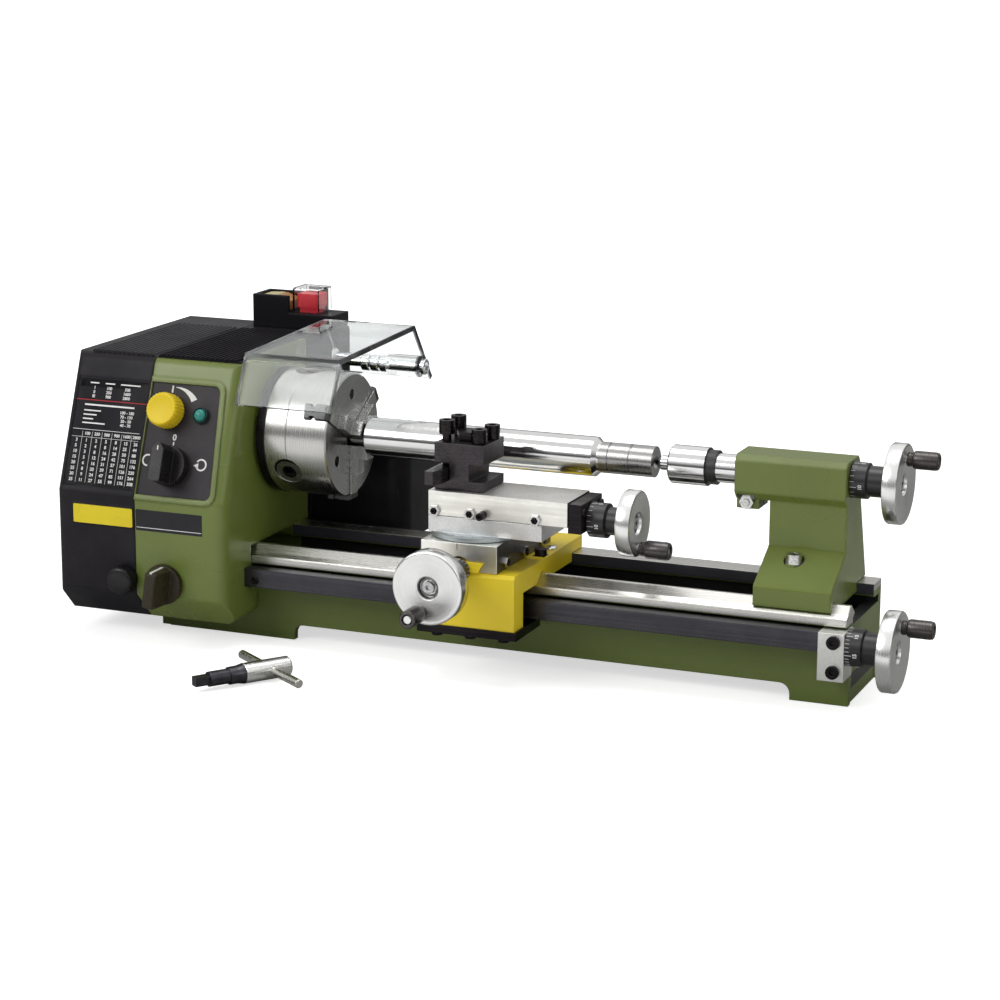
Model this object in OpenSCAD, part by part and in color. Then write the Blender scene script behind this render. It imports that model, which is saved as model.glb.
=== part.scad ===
// Precision bench lathe.
// The origin is on the ground under the left end of the bed, below the spindle axis.
// X runs along the spindle towards the tailstock, Y runs away from the operator, Z is up.

/* [Bed] */
// Length of the bed casting
bed_l = 430; // [415:1:520]
// Width of the bed over its side walls
bed_w = 66.4; // [62:0.2:74]
// Thickness of the two side walls
bed_wall = 5; // [4:0.5:7]
// Height of the crown of the front way above the ground
way_h = 58.5; // [57:0.5:59.5]
// How far the front way stands out over the front wall
way_lip = 8.2; // [6:0.2:10]
// Width of the flat rear way
rear_way_w = 16.2; // [12:0.2:18]
// Thickness of the flat rear way
rear_way_t = 7.8; // [5:0.2:10]
// Height of the arch between the two feet
arch_h = 9.5; // [6:0.5:14]
// Length of the left foot
foot_left_l = 85; // [70:1:110]
// Length of the right foot
foot_right_l = 34; // [28:1:60]
// Height of the cross webs between the walls
web_h = 46; // [36:0.5:47]
// Diameter of the four holes for the bench bolts
bolt_d = 6.4; // [5:0.2:8]
// Spread of the bench bolts across the bed
bolt_span = 36; // [28:1:42]

/* [Headstock] */
// Right face of the headstock
head_x = 61; // [58:1:75]
// Seam between the end cover and the headstock
seam_x = 1.5; // [1:0.5:4]
// Left face of the end cover
cover_x = -52.5; // [-70:0.5:-50]
// Most forward line of the front
ridge_y = -76; // [-86:1:-74]
// Height of that line
ridge_z = 90.5; // [80:0.5:100]
// Front edge of the top
brow_y = -46; // [-56:1:-42]
// Height of the top, without its ribs
head_h = 170; // [164:1:186]
// Lower edge of the upright part of the front, distance below the top of the ways
chin_drop = 28; // [21:0.5:32]
// Underside of the headstock apron and of the end cover, distance below the top of the ways
apron_drop = 45.5; // [41:0.5:47]
// Rear face of the machine
rear_y = 100; // [97:1:115]
// Face between the headstock casting and the rear cover
split_y = 36; // [35:0.5:38]
// Wall of the plastic covers
shell_t = 2.6; // [2:0.2:4]
// Pitch of the ribs on top
rib_pitch = 3.3; // [2.6:0.1:5]
// Height of the ribs on top
rib_h = 1.3; // [0.8:0.1:2]

/* [Spindle and drive] */
// Height of the spindle axis above the crown of the way
centre_h = 64.1; // [63.6:0.1:65]
// Bore through the spindle
spindle_bore_d = 10.5; // [8:0.5:12]
// Journal in the front bearing
front_journal_d = 25; // [22:1:28]
// Journal in the rear bearing
rear_journal_d = 20; // [18:1:22]
// Smallest groove radius of the spindle pulley
pulley_r = 18; // [16:1:20]
// Radius step from one pulley groove to the next
pulley_step = 5; // [3:0.5:6]
// Width of one pulley groove
groove_w = 8; // [7:0.5:8]
// Motor axis, rearwards from the spindle axis
motor_y = 66; // [64:1:70]
// Motor axis, height above the ground
motor_z = 78; // [76:1:82]
// Diameter of the motor can
motor_d = 46; // [42:1:46]
// Teeth of the gear on the spindle
gear_a = 18; // [16:1:18]
// Teeth of the feed gear
gear_c = 26; // [22:1:27]

/* [Chuck and work] */
// Diameter of the three-jaw chuck
chuck_d = 75; // [72:1:76]
// Length of the chuck body
chuck_l = 40.5; // [38:0.5:46]
// Bore of the chuck body
chuck_bore_d = 16; // [14:0.5:17]
// Width of a chuck jaw
jaw_w = 8.8; // [8:0.2:10]
// Pitch of the spiral thread on the scroll
scroll_pitch = 4; // [3.8:0.1:4.2]
// Diameter of the turned bar
work_d = 23.4; // [16:0.2:24]
// Diameter of the neck that the jaws hold
neck_d = 11.4; // [9:0.2:12]
// Length of the bar outside the chuck, up to its chamfer
work_l = 145.1; // [138:0.1:145.8]

/* [Leadscrew] */
// Leadscrew axis, distance in front of the bed wall
lead_out = 8.8; // [8:0.1:9.4]
// Leadscrew axis, distance below the top of the ways
lead_drop = 21; // [20.4:0.1:21.5]
// Diameter of the leadscrew
lead_d = 8; // [7:0.5:8]
// Front face of the leadscrew cover, distance in front of the bed wall
bar_out = 17.8; // [17.4:0.1:19.4]
// Height of the leadscrew cover
bar_h = 11.2; // [10.6:0.2:11.6]
// Length of the bearing block at the right end
block_l = 15; // [13:0.5:17]

/* [Saddle and slides] */
// Left side of the saddle
saddle_x = 186; // [176:1:196]
// Width of the saddle
saddle_w = 59.4; // [56:0.2:66]
// Thickness of the saddle over the way crown
saddle_t = 7.1; // [7:0.1:9]
// Front face of the saddle, distance in front of the bed wall
saddle_out = 42.3; // [42:0.1:46]
// Thickness of the apron of the saddle
apron_t = 14; // [12:0.5:18]
// Cross feed axis along the bed
cross_x = 210.9; // [208:0.1:214]
// Width of the cross slide
cross_w = 46.8; // [46:0.2:52]
// Height of the cross slide
cross_h = 15.9; // [15.4:0.1:18]
// Length of the cross slide
cross_l = 84.5; // [80:0.5:90]
// Width of the cross slide dovetail at its foot
cross_dove_w = 24; // [22:0.5:26]
// Diameter of the graduated swivel disc
disc_d = 54; // [50:1:56]
// Length of the swivel base
base_l = 69.8; // [64:0.2:76]
// Height of the swivel base below its dovetail
base_h = 9.3; // [8.5:0.1:11]
// Length of the top slide
top_l = 85.3; // [80:0.1:95]
// Width of the top slide
top_w = 35.5; // [34:0.5:40]
// Height of the top slide
top_h = 14.3; // [13.6:0.1:17]
// Diameter of the two slide feed screws
feed_d = 7; // [6:0.5:7]

/* [Tool post] */
// Side of the tool post block
post_w = 30.5; // [29:0.5:33]
// Height of the tool post block
post_h = 26.9; // [26:0.1:30]
// Side of the square tool bit
tool_w = 8; // [6:0.5:8]
// Height of the two tool slots
slot_h = 10; // [9:0.2:11]

/* [Tailstock] */
// Left end of the tailstock barrel
tail_x = 355; // [352:1:357]
// Length of the tailstock barrel
barrel_l = 65; // [62:1:66]
// Length of the tailstock base
tail_base_l = 45; // [42:1:46]
// Half width of the barrel block
barrel_half_w = 14.5; // [13.5:0.5:18]
// Diameter of the quill
quill_d = 16.8; // [15:0.2:18]
// Diameter of the live centre body
centre_d = 22.4; // [20:0.2:23]

/* [Handwheels] */
// Diameter of the leadscrew and tailstock handwheels
wheel_d = 46; // [40:1:48]
// Diameter of the cross slide handwheel
cross_wheel_d = 42.4; // [40:0.2:43]
// Diameter of the top slide handwheel
top_wheel_d = 38; // [36:1:40]
// Thickness of a handwheel
wheel_t = 9; // [7:0.5:10]
// Diameter of a black grip
grip_d = 10.4; // [9:0.2:12]
// Length of a black grip
grip_l = 18; // [15:0.5:22]
// Distance of a grip from the wheel axis
grip_r = 14.4; // [13.6:0.1:14.6]

/* [Guard and switches] */
// Thickness of the clear guard
guard_t = 3; // [2:0.2:4]
// Right edge of the guard
guard_x = 124; // [118:1:130]
// Guard hinge axis, rearwards from the spindle axis
hinge_y = 68.5; // [66:0.5:70]
// Guard hinge axis, distance below the top of the headstock
hinge_drop = 16; // [14:0.5:19]
// Diameter of the guard hinge rod
hinge_d = 6; // [5:0.5:7]
// Diameter of the speed knob
speed_d = 22.6; // [18:0.2:26]
// Diameter of the direction switch
switch_d = 24; // [20:0.5:26]
// Width of the red stop button
stop_w = 14; // [12:0.5:15]

/* [Chuck key] */
// Length of the chuck key
key_l = 60.8; // [52:0.2:70]
// Diameter of the key body
key_d = 12; // [10:0.5:14]
// Length of the sliding T-bar
tbar_l = 71; // [64:0.5:78]
// Diameter of the sliding T-bar
tbar_d = 5.2; // [4:0.2:6]

/* [Fits] */
// Gap between pieces that move past each other
gap = 0.35; // [0.3:0.01:0.4]
// Radial clearance of a running fit
run = 0.05; // [0.02:0.01:0.08]

/* [Hidden] */
$fn = 48;
eps = 0.2;
green = [0.36, 0.46, 0.17];
black = [0.1, 0.1, 0.11];
steel = [0.66, 0.67, 0.69];
dark_steel = [0.3, 0.3, 0.31];
brass = [0.72, 0.58, 0.3];
yellow = [0.86, 0.76, 0.1];
red = [0.75, 0.1, 0.12];
clear = [0.8, 0.9, 0.88, 0.4];

// Derived: bed
wall_y = -bed_w / 2;
lip_y = wall_y - way_lip;
lip_z = way_h - 10.9;
rear_way_y = bed_w / 2 - rear_way_w;
lead_y = wall_y - lead_out;
lead_z = way_h - lead_drop;
floor_z = 18;
floor_t = 4;
pad_left_x = 26;
lug_l = 6;
lug_h = lead_z - 25.5;
bar_hole_r = 7;
pad_right_x = bed_l - 17;
pad_l = 28;
pad_right_l = 26;
bolt_depth = 14;
web_t = 8;
rib_x = [150, 290];
rib_t = 5;
arch_r = 6;

// Derived: headstock and covers
spindle_z = way_h + centre_h;
lean = atan((brow_y - ridge_y) / (head_h - ridge_z));
apron_y = ridge_y + 17;
apron_z = way_h - apron_drop;
chin_z = way_h - chin_drop;
brow_r = 7;
edge_r = 8;
foot_edge_r = 9;
lid_depth = 5;
lid_border = 3;
lid_front = brow_y + 2;
lid_rear = 63;
seat_r = 23.5;
rear_seat_r = 21;
seat_l = 14;
tunnel_r = 17;
front_seat_x = head_x - 19;
rear_seat_x = seam_x + 6.5;
panel_t = 1.6;
panel_depth = 1.8;
panel_x = 2.2;
panel_s0 = 1.5;
panel_s1 = 70;
panel_w0 = 50;
panel_w1 = 46;
panel_r = 4;
frame_w = 3.2;
frame_h = 1.1;
speed_x = 16;
speed_s = 52.6;
switch_x = 22.5;
switch_s = 19.9;
lamp_x = 37.8;
lamp_s = 51.9;
lamp_r = 5;
shaft_r = 3;
feed_knob_x = 20.7;
feed_knob_z = chin_z + 8.3;
feed_knob_r = 12.2;
screw_x = -6;
screw_z = chin_z + 9;
screw_r = 8.7;
screw_stem_r = 2.5;
tab_l = 14;
tab_t = 6;
plate_t = 0.6;
housing_x = 125;
housing_y = 40.4;
housing_z0 = 48;
housing_z1 = 107;
rear_z0 = 40;

// Derived: drive
pulley_x = -38;
pulley_flange = 4;
belt_t = 3.5;
groove_slope = 2;
gear_m = 1.5;
gear_x = -11.5;
gear_t = 6;
feed_gear_x = -5;
feed_gear_t = 4.2;
gear_span = norm([lead_y, spindle_z - lead_z]);
gear_b = ceil(gear_span / gear_m - (gear_a + gear_c) / 2);
reach_a = gear_m * (gear_a + gear_b) / 2;
reach_c = gear_m * (gear_b + gear_c) / 2;
idler_s = (reach_a * reach_a - reach_c * reach_c + gear_span * gear_span) / (2 * gear_span);
idler_h = sqrt(max(0, reach_a * reach_a - idler_s * idler_s));
span_u = [lead_y, lead_z - spindle_z] / gear_span;
idler_y = idler_s * span_u[0] - idler_h * span_u[1];
idler_z = spindle_z + idler_s * span_u[1] + idler_h * span_u[0];
mesh_a = atan2(idler_z - spindle_z, idler_y);
stud_r = 4;

// Derived: chuck
plate_x = head_x + 2.6;
chuck_x = plate_x + 5.1;
face_x = chuck_x + chuck_l;
chuck_r = chuck_d / 2;
wall_r = chuck_r - 4.1;
hub_r = 12;
pinion_x = chuck_x + 13.3;
pinion_r = 9;
pinion_neck_r = 5;
socket = 5.6;
scroll_x = pinion_x + pinion_neck_r + 0.4;
scroll_t = 4;
thread_h = 2.5;
thread_w = 1.5;
scroll_r = wall_r - 0.4;
thread_x = scroll_x + scroll_t + thread_h;
cavity_x = thread_x + 0.4;
jaw_angle = [30, 150, 270];
pinion_angle = [-30, 90, 210];
jaw_reach = 40;
jaw_groove = 1.5;
guide_x = face_x - 11;
guide_w = 3.4;
jaw_nose_x = face_x + 11.8;
jaw_mid_x = face_x + 5.8;
jaw_step_r = [14, 24];
jaw_r0 = neck_d / 2 + 0.1;
bar_x = jaw_nose_x + 0.6;
bar_end = bar_x + work_l;
ring_r = 9.1;
ring_x = bar_end + 3.7;
ring_end = ring_x + 32.6;
centre_hole_r = 4;
centre_hole_l = 6;

// Derived: leadscrew
bar_t = 2;
bar_front = wall_y - bar_out;
bar_top = lip_z - 1;
bar_end_x = bed_l - 13.5;
block_x = bar_end_x;
block_z0 = lead_z - 18.5;
block_end = block_x + block_l;
lead_dial_x = block_end + gap;
lead_dial_l = 20.2;
lead_dial_r = 10.7;
lead_wheel_x = lead_dial_x + lead_dial_l;

// Derived: saddle and slides
saddle_front = wall_y - saddle_out;
saddle_z0 = way_h - 5.1;
saddle_z1 = way_h + gap + saddle_t;
saddle_rear = bed_w / 2 + 0.3;
apron_bottom = way_h - 25.3;
clamp_t = 5;
lead_nut_x = 12;
lead_nut_l = 32;
lead_nut_half = 5.5;
dove_h = 6;
dove_slope = 3.5;
screw_pit = 0.4;
cross_z = saddle_z1 + 0.55;
cross_r = feed_d / 2;
slot_half = cross_r + 0.75;
web_l = 11;
nut_l = 16;
nut_y = -30;
cross_front = saddle_front + 1;
cross_z0 = saddle_z1 + gap;
cross_z1 = cross_z0 + cross_h;
arch_clear_r = 8;
cross_dial_r = 7.4;
cross_dial_l = 32.5;
cross_wheel_y = saddle_front - gap - cross_dial_l - 0.6;
swivel_x = cross_x;
swivel_y = -46;
boss_r = 10;
boss_h = 4.6;
disc_z = cross_z1 + gap;
disc_t = 2.5;
base_z0 = disc_z + disc_t;
base_z1 = base_z0 + base_h;
base_x = swivel_x - 23.4;
base_w = top_w;
top_y = -46.2;
top_dove_h = 7;
top_dove_w = 8.6;
top_dove_slope = 2.8;
top_z0 = base_z1 + gap;
top_z1 = top_z0 + top_h;
top_screw_z = base_z1 + 2.4;
top_nut_x = swivel_x + 24;
bracket_l = 8;
bracket_x = base_x + top_l;
top_dial_x = bracket_x + bracket_l + gap;
top_dial_l = 19.6;
top_dial_r = 10;
top_wheel_x = top_dial_x + top_dial_l;

// Derived: tool post
post_x = swivel_x - 6.4;
post_y = swivel_y + 2;
post_z0 = top_z1 + gap;
post_z1 = post_z0 + post_h;
post_stud_r = 5;
slot_z = spindle_z - tool_w;
slot_depth = tool_w + 1.2;
tool_front = 31.5;
tool_rear = 20;
post_screw_r = 4.5;
post_screw_h = [12.2, 8.2];
post_screw_at = [[-10.6, -8, 0], [-9.6, 7, 0], [9.6, -8, 1], [11.4, 7, 1]];

// Derived: tailstock
tail_end = tail_x + barrel_l;
column_x = tail_end - tail_base_l;
barrel_top = spindle_z + 11.7;
barrel_bottom = spindle_z - 14.1;
column_y = -10.5;
tail_front = wall_y - 6.3;
tail_rear = bed_w / 2 + 1.8;
shoulder_z = way_h + 23.5;
toe_z = way_h + 7.5;
quill_r = quill_d / 2;
quill_end = tail_end - 20;
tail_screw_r = 4;
end_wall = 6;
ear_l = 13;
ear_z = spindle_z - 20.1;
ear_w = 9;
centre_tip = ring_end - 2.4;
centre_neck_r = 4.4;
centre_x = ring_end + 10;
centre_ring_x = centre_x + 22.4;
centre_back = centre_ring_x + 5.6;
tail_dial_x = tail_end + gap;
tail_dial_l = 21.1;
tail_dial_r = 10.3;
tail_wheel_x = tail_dial_x + tail_dial_l;

// Derived: guard and switch box
guard_x0 = head_x + 1;
hinge_z = head_h - hinge_drop;
guard_line = [[brow_y - 15, hinge_z - 5.5], [brow_y - 1, hinge_z + 23], [hinge_y - 8.5, hinge_z + 27],
    [hinge_y + 18, hinge_z - 9]];
guard_tube_r = 6.6;
guard_tube_x = guard_x - 21;
collar_l = 18;
box_x = 4;
box_l = 56;
box_y = 76;
box_low = 10;
box_high = 21;
box_step = 25;
button_x = 40;
button_h = 11;
button_w = stop_w;
flap_t = 1;
flap_room = 1.2;
flap_run = 0.1;
flap_bracket_l = 12;

// Derived: handwheels and key
stud_rod_r = 2.5;
key_a = [80.4, -151.3];
key_turn = 54.7;
key_z = key_d / 2;
key_shank_r = 4.4;
key_shank_l = key_l / 2;
key_square_l = 9;
key_cross = 0.8;

// Shared shapes

module along_x(x0, x1)
    translate([x0, 0, 0])
        rotate([90, 0, 90])
            linear_extrude(x1 - x0)
                children();

module along_y(y0, y1)
    translate([0, y1, 0])
        rotate([90, 0, 0])
            linear_extrude(y1 - y0)
                children();

module rod_x(x0, x1, r, y = 0, z = spindle_z)
    translate([x0, y, z])
        rotate([0, 90, 0])
            cylinder(h = x1 - x0, r = r);

module rod_y(y0, y1, r, x, z)
    translate([x, y0, z])
        rotate([-90, 0, 0])
            cylinder(h = y1 - y0, r = r);

module box(a, b)
    translate(a)
        cube(b - a);

// A turned solid on an axis along X, from pairs of distance and radius
module turn_x(pts, y = 0, z = spindle_z)
    translate([0, y, z])
        rotate([0, 90, 0])
            turned(pts);

module turned(pts)
    rotate_extrude()
        polygon(concat(
            [[0, pts[0][0]]],
            [for (p = pts) [p[1], p[0]]],
            [[0, pts[len(pts) - 1][0]]]));

function unit(v) = v / norm(v);

// Points that round the corner p between a and b
function fillet(a, p, b, r, n = 5) = let(
    u = unit(a - p),
    v = unit(b - p),
    h = acos(u * v) / 2,
    c = p + unit(u + v) * r / sin(h),
    s = p + u * r / tan(h),
    e = p + v * r / tan(h),
    a0 = atan2(s[1] - c[1], s[0] - c[0]),
    a1 = atan2(e[1] - c[1], e[0] - c[0]),
    d = (a1 - a0 + 540) % 360 - 180
) [for (i = [0:n]) c + r * [cos(a0 + d * i / n), sin(a0 + d * i / n)]];

// Half the angle between the two sides that meet at the corner p
function half_corner(a, p, b) = acos(unit(a - p) * unit(b - p)) / 2;

// The point at a distance t inside the corner p of a bent line
function inset(a, p, b, t) = p + unit(unit(a - p) + unit(b - p)) * t / sin(half_corner(a, p, b));

// Outline of the prism way, moved out by g
function way_line(g) = [
    [lip_y - 0.53 * g, lip_z + 4.6 + 0.85 * g],
    [wall_y - 5 - 0.8 * g, way_h - 4.3 + 0.6 * g],
    [wall_y - 0.6 - 0.4 * g, way_h + g],
    [wall_y + 1.7 + 0.37 * g, way_h + g]];

// Removes the edge of a solid that lies at x below 0 and y above 0
module edge_round(r, l)
    linear_extrude(l)
        difference() {
            translate([-r, -1])
                square([r + 1, r + 1]);
            translate([-r, r])
                circle(r);
        }

// Places a shape on the leaning front: x along the machine, s up the slope, z outwards
module on_front(x = 0, s = 0)
    translate([x, ridge_y, ridge_z])
        rotate([90 - lean, 0, 0])
            translate([0, s, 0])
                children();

// Places a shape on the upright front, z outwards
module on_chin(x, z)
    translate([x, ridge_y, z])
        rotate([90, 0, 0])
            children();

// Places a radial shape of the chuck, which points along -Y at angle 0
module at_angle(a)
    translate([0, 0, spindle_z])
        rotate([-a, 0, 0])
            children();

module toothed(r, n, d)
    polygon([for (i = [0:2 * n - 1]) (i % 2 == 0 ? r : r - d) * [cos(180 * i / n), sin(180 * i / n)]]);

module gear_shape(n) {
    rf = gear_m * (n / 2 - 1.2);
    ra = gear_m * (n / 2 + 0.85);
    polygon([for (i = [0:n - 1]) for (k = [[-0.27, rf], [-0.11, ra], [0.11, ra], [0.27, rf]])
        k[1] * [cos((i + k[0]) * 360 / n), sin((i + k[0]) * 360 / n)]]);
}

function head_front() = concat(
    [[apron_y, apron_z], [ridge_y, chin_z], [ridge_y, ridge_z]],
    fillet([ridge_y, ridge_z], [brow_y, head_h], [brow_y + 40, head_h], brow_r));

// Rounds the two edges where the upright and the leaning front meet a side face
module front_edges(r) {
    edge_round(r, ridge_z + eps);
    translate([0, 0, ridge_z])
        rotate([-lean, 0, 0])
            translate([0, 0, -r / 3])
                edge_round(r, 100);
}

module comb(x0, n)
    for (i = [0:n - 1])
        translate([x0 + i * rib_pitch, 0])
            polygon([[0, -eps], [0, 0], [0.5, rib_h], [1.9, rib_h], [2.4, 0], [2.4, -eps]]);

module panel_shape(grow = 0) {
    p = [[panel_x - grow, panel_s0 - grow], [panel_x + panel_w0 + grow, panel_s0 - grow],
        [panel_x + panel_w1 + grow, panel_s1 + grow], [panel_x - grow, panel_s1 + grow]];
    polygon(concat([p[0]], fillet(p[0], p[1], p[2], panel_r + grow), fillet(p[1], p[2], p[3], panel_r + grow),
        [p[3]]));
}

// Bed

module bed_section() {
    polygon(concat(way_line(0), [[wall_y + 8.8, way_h - 5.9], [wall_y + bed_wall, way_h - 8],
        [wall_y + bed_wall, 0], [wall_y, 0], [wall_y, lip_z], [lip_y, lip_z]]));
    polygon(concat([[rear_way_y, way_h], [bed_w / 2, way_h], [bed_w / 2, 0], [bed_w / 2 - bed_wall, 0],
        [bed_w / 2 - bed_wall, way_h - rear_way_t]],
        fillet([bed_w / 2 - bed_wall, way_h - rear_way_t], [rear_way_y, way_h - rear_way_t],
            [rear_way_y, way_h], 2)));
    translate([wall_y + eps, floor_z])
        square([bed_w - 2 * eps, floor_t]);
}

module bolt_holes()
    for (x = [pad_left_x, pad_right_x])
        for (y = [-bolt_span / 2, bolt_span / 2])
            translate([x, y, -eps])
                cylinder(h = bolt_depth + eps, r = bolt_d / 2);

module bed()
    color(green)
        difference() {
            union() {
                along_x(0, bed_l)
                    bed_section();
                box([bed_l - web_t, wall_y + 1, floor_z], [bed_l, bed_w / 2 - 1, web_h]);
                for (x = rib_x)
                    box([x, wall_y + 1, floor_z], [x + rib_t, bed_w / 2 - 1, web_h - 10]);
                box([pad_left_x - pad_l / 2, wall_y + 1, 0],
                    [pad_left_x + pad_l / 2, bed_w / 2 - 1, floor_z + 1]);
                box([pad_right_x - pad_right_l / 2, wall_y + 1, 0], [bed_l - 1, bed_w / 2 - 1, floor_z + 1]);
                box([-lug_l, wall_y + 1, 0], [pad_left_x, bed_w / 2 - 1, lug_h]);
            }
            along_y(-bed_w, bed_w)
                arch_shape();
            bolt_holes();
        }

module arch_shape() {
    a = [foot_left_l, -1];
    b = [foot_left_l, arch_h];
    c = [bed_l - foot_right_l, arch_h];
    d = [bed_l - foot_right_l, -1];
    polygon(concat([a], fillet(a, b, c, arch_r), fillet(b, c, d, arch_r), [d]));
}

// Headstock casting

module headstock()
    color(green)
        difference() {
            union() {
                along_x(seam_x, head_x)
                    polygon(concat(head_front(), [[split_y, head_h], [split_y, way_h], [lip_y - 0.5, way_h],
                        [lip_y - 0.5, lip_z - 0.4], [wall_y - 0.3, lip_z - 0.4], [wall_y - 0.3, apron_z]]));
                on_front()
                    translate([0, 0, -1])
                        linear_extrude(1 + frame_h)
                            intersection() {
                                panel_shape(frame_w);
                                translate([seam_x + eps, -2])
                                    square([head_x, 100]);
                            }
                cover_tab();
                rod_x(gear_x - 1, seam_x + 1, stud_r, idler_y, idler_z);
                rod_x(gear_x + gear_t + 0.4, seam_x + 1, stud_r + 3, idler_y, idler_z);
            }
            box([seam_x - 1, lid_front, head_h - lid_depth], [head_x - lid_border, split_y + 1, head_h + 5]);
            rod_x(seam_x - 1, head_x + 1, tunnel_r);
            rod_x(front_seat_x, head_x + 1, seat_r);
            rod_x(rear_seat_x, rear_seat_x + seat_l - 2, rear_seat_r);
            rod_x(seam_x - 1, rear_seat_x + 1, rear_seat_r);
            translate([head_x, ridge_y, 0])
                front_edges(edge_r);
            translate([head_x, wall_y, apron_z])
                rotate([90, 0, 0])
                    edge_round(foot_edge_r, 60);
            on_front()
                translate([0, 0, -panel_depth])
                    linear_extrude(10)
                        panel_shape();
            on_front(speed_x, speed_s)
                translate([0, 0, -12])
                    cylinder(h = 20, r = shaft_r + run);
            on_front(switch_x, switch_s)
                translate([0, 0, -12])
                    cylinder(h = 20, r = shaft_r + run);
            on_chin(feed_knob_x, feed_knob_z)
                translate([0, 0, -14])
                    cylinder(h = 20, r = shaft_r + run);
            rod_x(seam_x - 5, head_x + 1, lead_d / 2 + 1, lead_y, lead_z);
        }

// Slotted tab that the thumbscrew of the end cover slides into
module cover_tab()
    difference() {
        box([seam_x - tab_l, ridge_y + 3, screw_z - 8], [seam_x + 1, ridge_y + 3 + tab_t, screw_z + 8]);
        box([seam_x - tab_l - 1, ridge_y, screw_z - screw_stem_r - gap],
            [screw_x + screw_stem_r + gap, ridge_y + 20, screw_z + screw_stem_r + gap]);
    }

// Covers

module cover_outline()
    polygon(concat(head_front(),
        fillet([0, head_h], [rear_y, head_h], [rear_y, 50], 4), [[rear_y, 46], [rear_y - 40, apron_z]]));

module end_cover()
    color(black)
        difference() {
            union() {
                along_x(cover_x, seam_x - gap)
                    cover_outline();
                along_y(lid_front, lid_rear)
                    translate([0, head_h])
                        comb(cover_x + 9.5, floor((seam_x - cover_x - 10) / rib_pitch));
                on_chin(0, 0)
                    translate([cover_x + 11.5, ridge_z - 19.7, -1])
                        cube([seam_x - cover_x - 12.5, 12.6, 1 + plate_t]);
            }
            along_x(cover_x + shell_t, seam_x + 1)
                offset(delta = -shell_t)
                    cover_outline();
            mirror([1, 0, 0])
                translate([-cover_x, ridge_y, 0])
                    front_edges(5);
            on_front(cover_x + 4, 3)
                translate([0, 0, -plate_t])
                    cube([seam_x - cover_x - 5.5, 67, 5]);
            rod_y(ridge_y - 5, ridge_y + 20, screw_stem_r + run, screw_x, screw_z);
            rod_x(cover_x - 1, cover_x + 10, bar_hole_r);
            box([-lug_l - 1, wall_y - 1, apron_z - 1], [seam_x + 1, bed_w / 2 + 1, apron_z + shell_t + 1]);
        }

module cover_screw()
    color(black) {
        on_chin(screw_x, screw_z)
            translate([0, 0, gap])
                linear_extrude(9)
                    toothed(screw_r, 26, 0.8);
        rod_y(ridge_y - gap - 1, ridge_y + 9.5, screw_stem_r, screw_x, screw_z);
    }

module top_cover()
    color(black) {
        x1 = head_x - lid_border - 0.3;
        box([seam_x + 0.3, lid_front + 0.3, head_h - lid_depth], [x1, lid_rear, head_h]);
        along_y(lid_front + 0.3, lid_rear)
            translate([0, head_h])
                comb(seam_x + 0.8, floor((x1 - seam_x - 0.8) / rib_pitch));
    }

module rear_cover()
    color(black)
        difference() {
            union() {
                along_x(seam_x, head_x)
                    polygon(concat([[split_y, rear_z0], [split_y, head_h - lid_depth],
                        [lid_rear, head_h - lid_depth], [lid_rear, head_h]],
                        fillet([0, head_h], [rear_y, head_h], [rear_y, 50], 4), [[rear_y, rear_z0]]));
                along_x(head_x - 1, housing_x)
                    motor_housing_shape();
            }
            rod_x(seam_x - 1, housing_x - 5, motor_d / 2 + 0.3, motor_y, motor_z);
            translate([housing_x, housing_y, 0])
                edge_round(12, 200);
        }

module motor_housing_shape() {
    a = [housing_y, housing_z0];
    b = [housing_y, housing_z1];
    c = [rear_y, housing_z1];
    d = [rear_y, housing_z0];
    polygon(concat([a], fillet(a, b, c, 10), fillet(b, c, d, 8), [d]));
}

// Control panel and knobs

module control_panel()
    color(black)
        on_front()
            difference() {
                translate([0, 0, -panel_depth])
                    linear_extrude(panel_t)
                        panel_shape(-0.2);
                translate([speed_x, speed_s, -5])
                    cylinder(h = 10, r = shaft_r + 0.5);
                translate([switch_x, switch_s, -5])
                    cylinder(h = 10, r = shaft_r + 0.5);
                translate([lamp_x, lamp_s, -5])
                    cylinder(h = 10, r = lamp_r - 1);
            }

module speed_knob()
    color(yellow)
        on_front(speed_x, speed_s) {
            linear_extrude(10.5)
                toothed(speed_d / 2, 30, 0.5);
            translate([0, 0, 10.3])
                cylinder(h = 1.2, r1 = speed_d / 2 - 0.9, r2 = speed_d / 2 - 2);
            translate([0, 0, -10])
                cylinder(h = 10.5, r = shaft_r);
        }

// A round knob with a grip bar across it, pointing along +Y
module bar_knob(r, base_h, bar_h, bar_w, tip) {
    cylinder(h = base_h, r = r);
    translate([0, 0, base_h - eps])
        linear_extrude(bar_h - base_h + eps)
            intersection() {
                circle(r - 0.4);
                polygon([[-bar_w / 2, -r], [bar_w / 2, -r], [bar_w / 2, r - 4], [1, r + tip], [-1, r + tip],
                    [-bar_w / 2, r - 4]]);
            }
}

module direction_switch()
    color(black)
        on_front(switch_x, switch_s) {
            bar_knob(switch_d / 2, 6, 19, 8, 0);
            translate([0, 0, -10])
                cylinder(h = 10.5, r = shaft_r);
        }

module pilot_lamp()
    color([0.05, 0.4, 0.3])
        on_front(lamp_x, lamp_s) {
            translate([0, 0, -panel_depth + panel_t])
                cylinder(h = 3, r = lamp_r);
            translate([0, 0, -panel_depth + panel_t + 2.8])
                cylinder(h = 2.4, r1 = lamp_r - 0.3, r2 = lamp_r - 2.6);
            translate([0, 0, -panel_depth])
                cylinder(h = 3, r = lamp_r - 1.1);
        }

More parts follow.
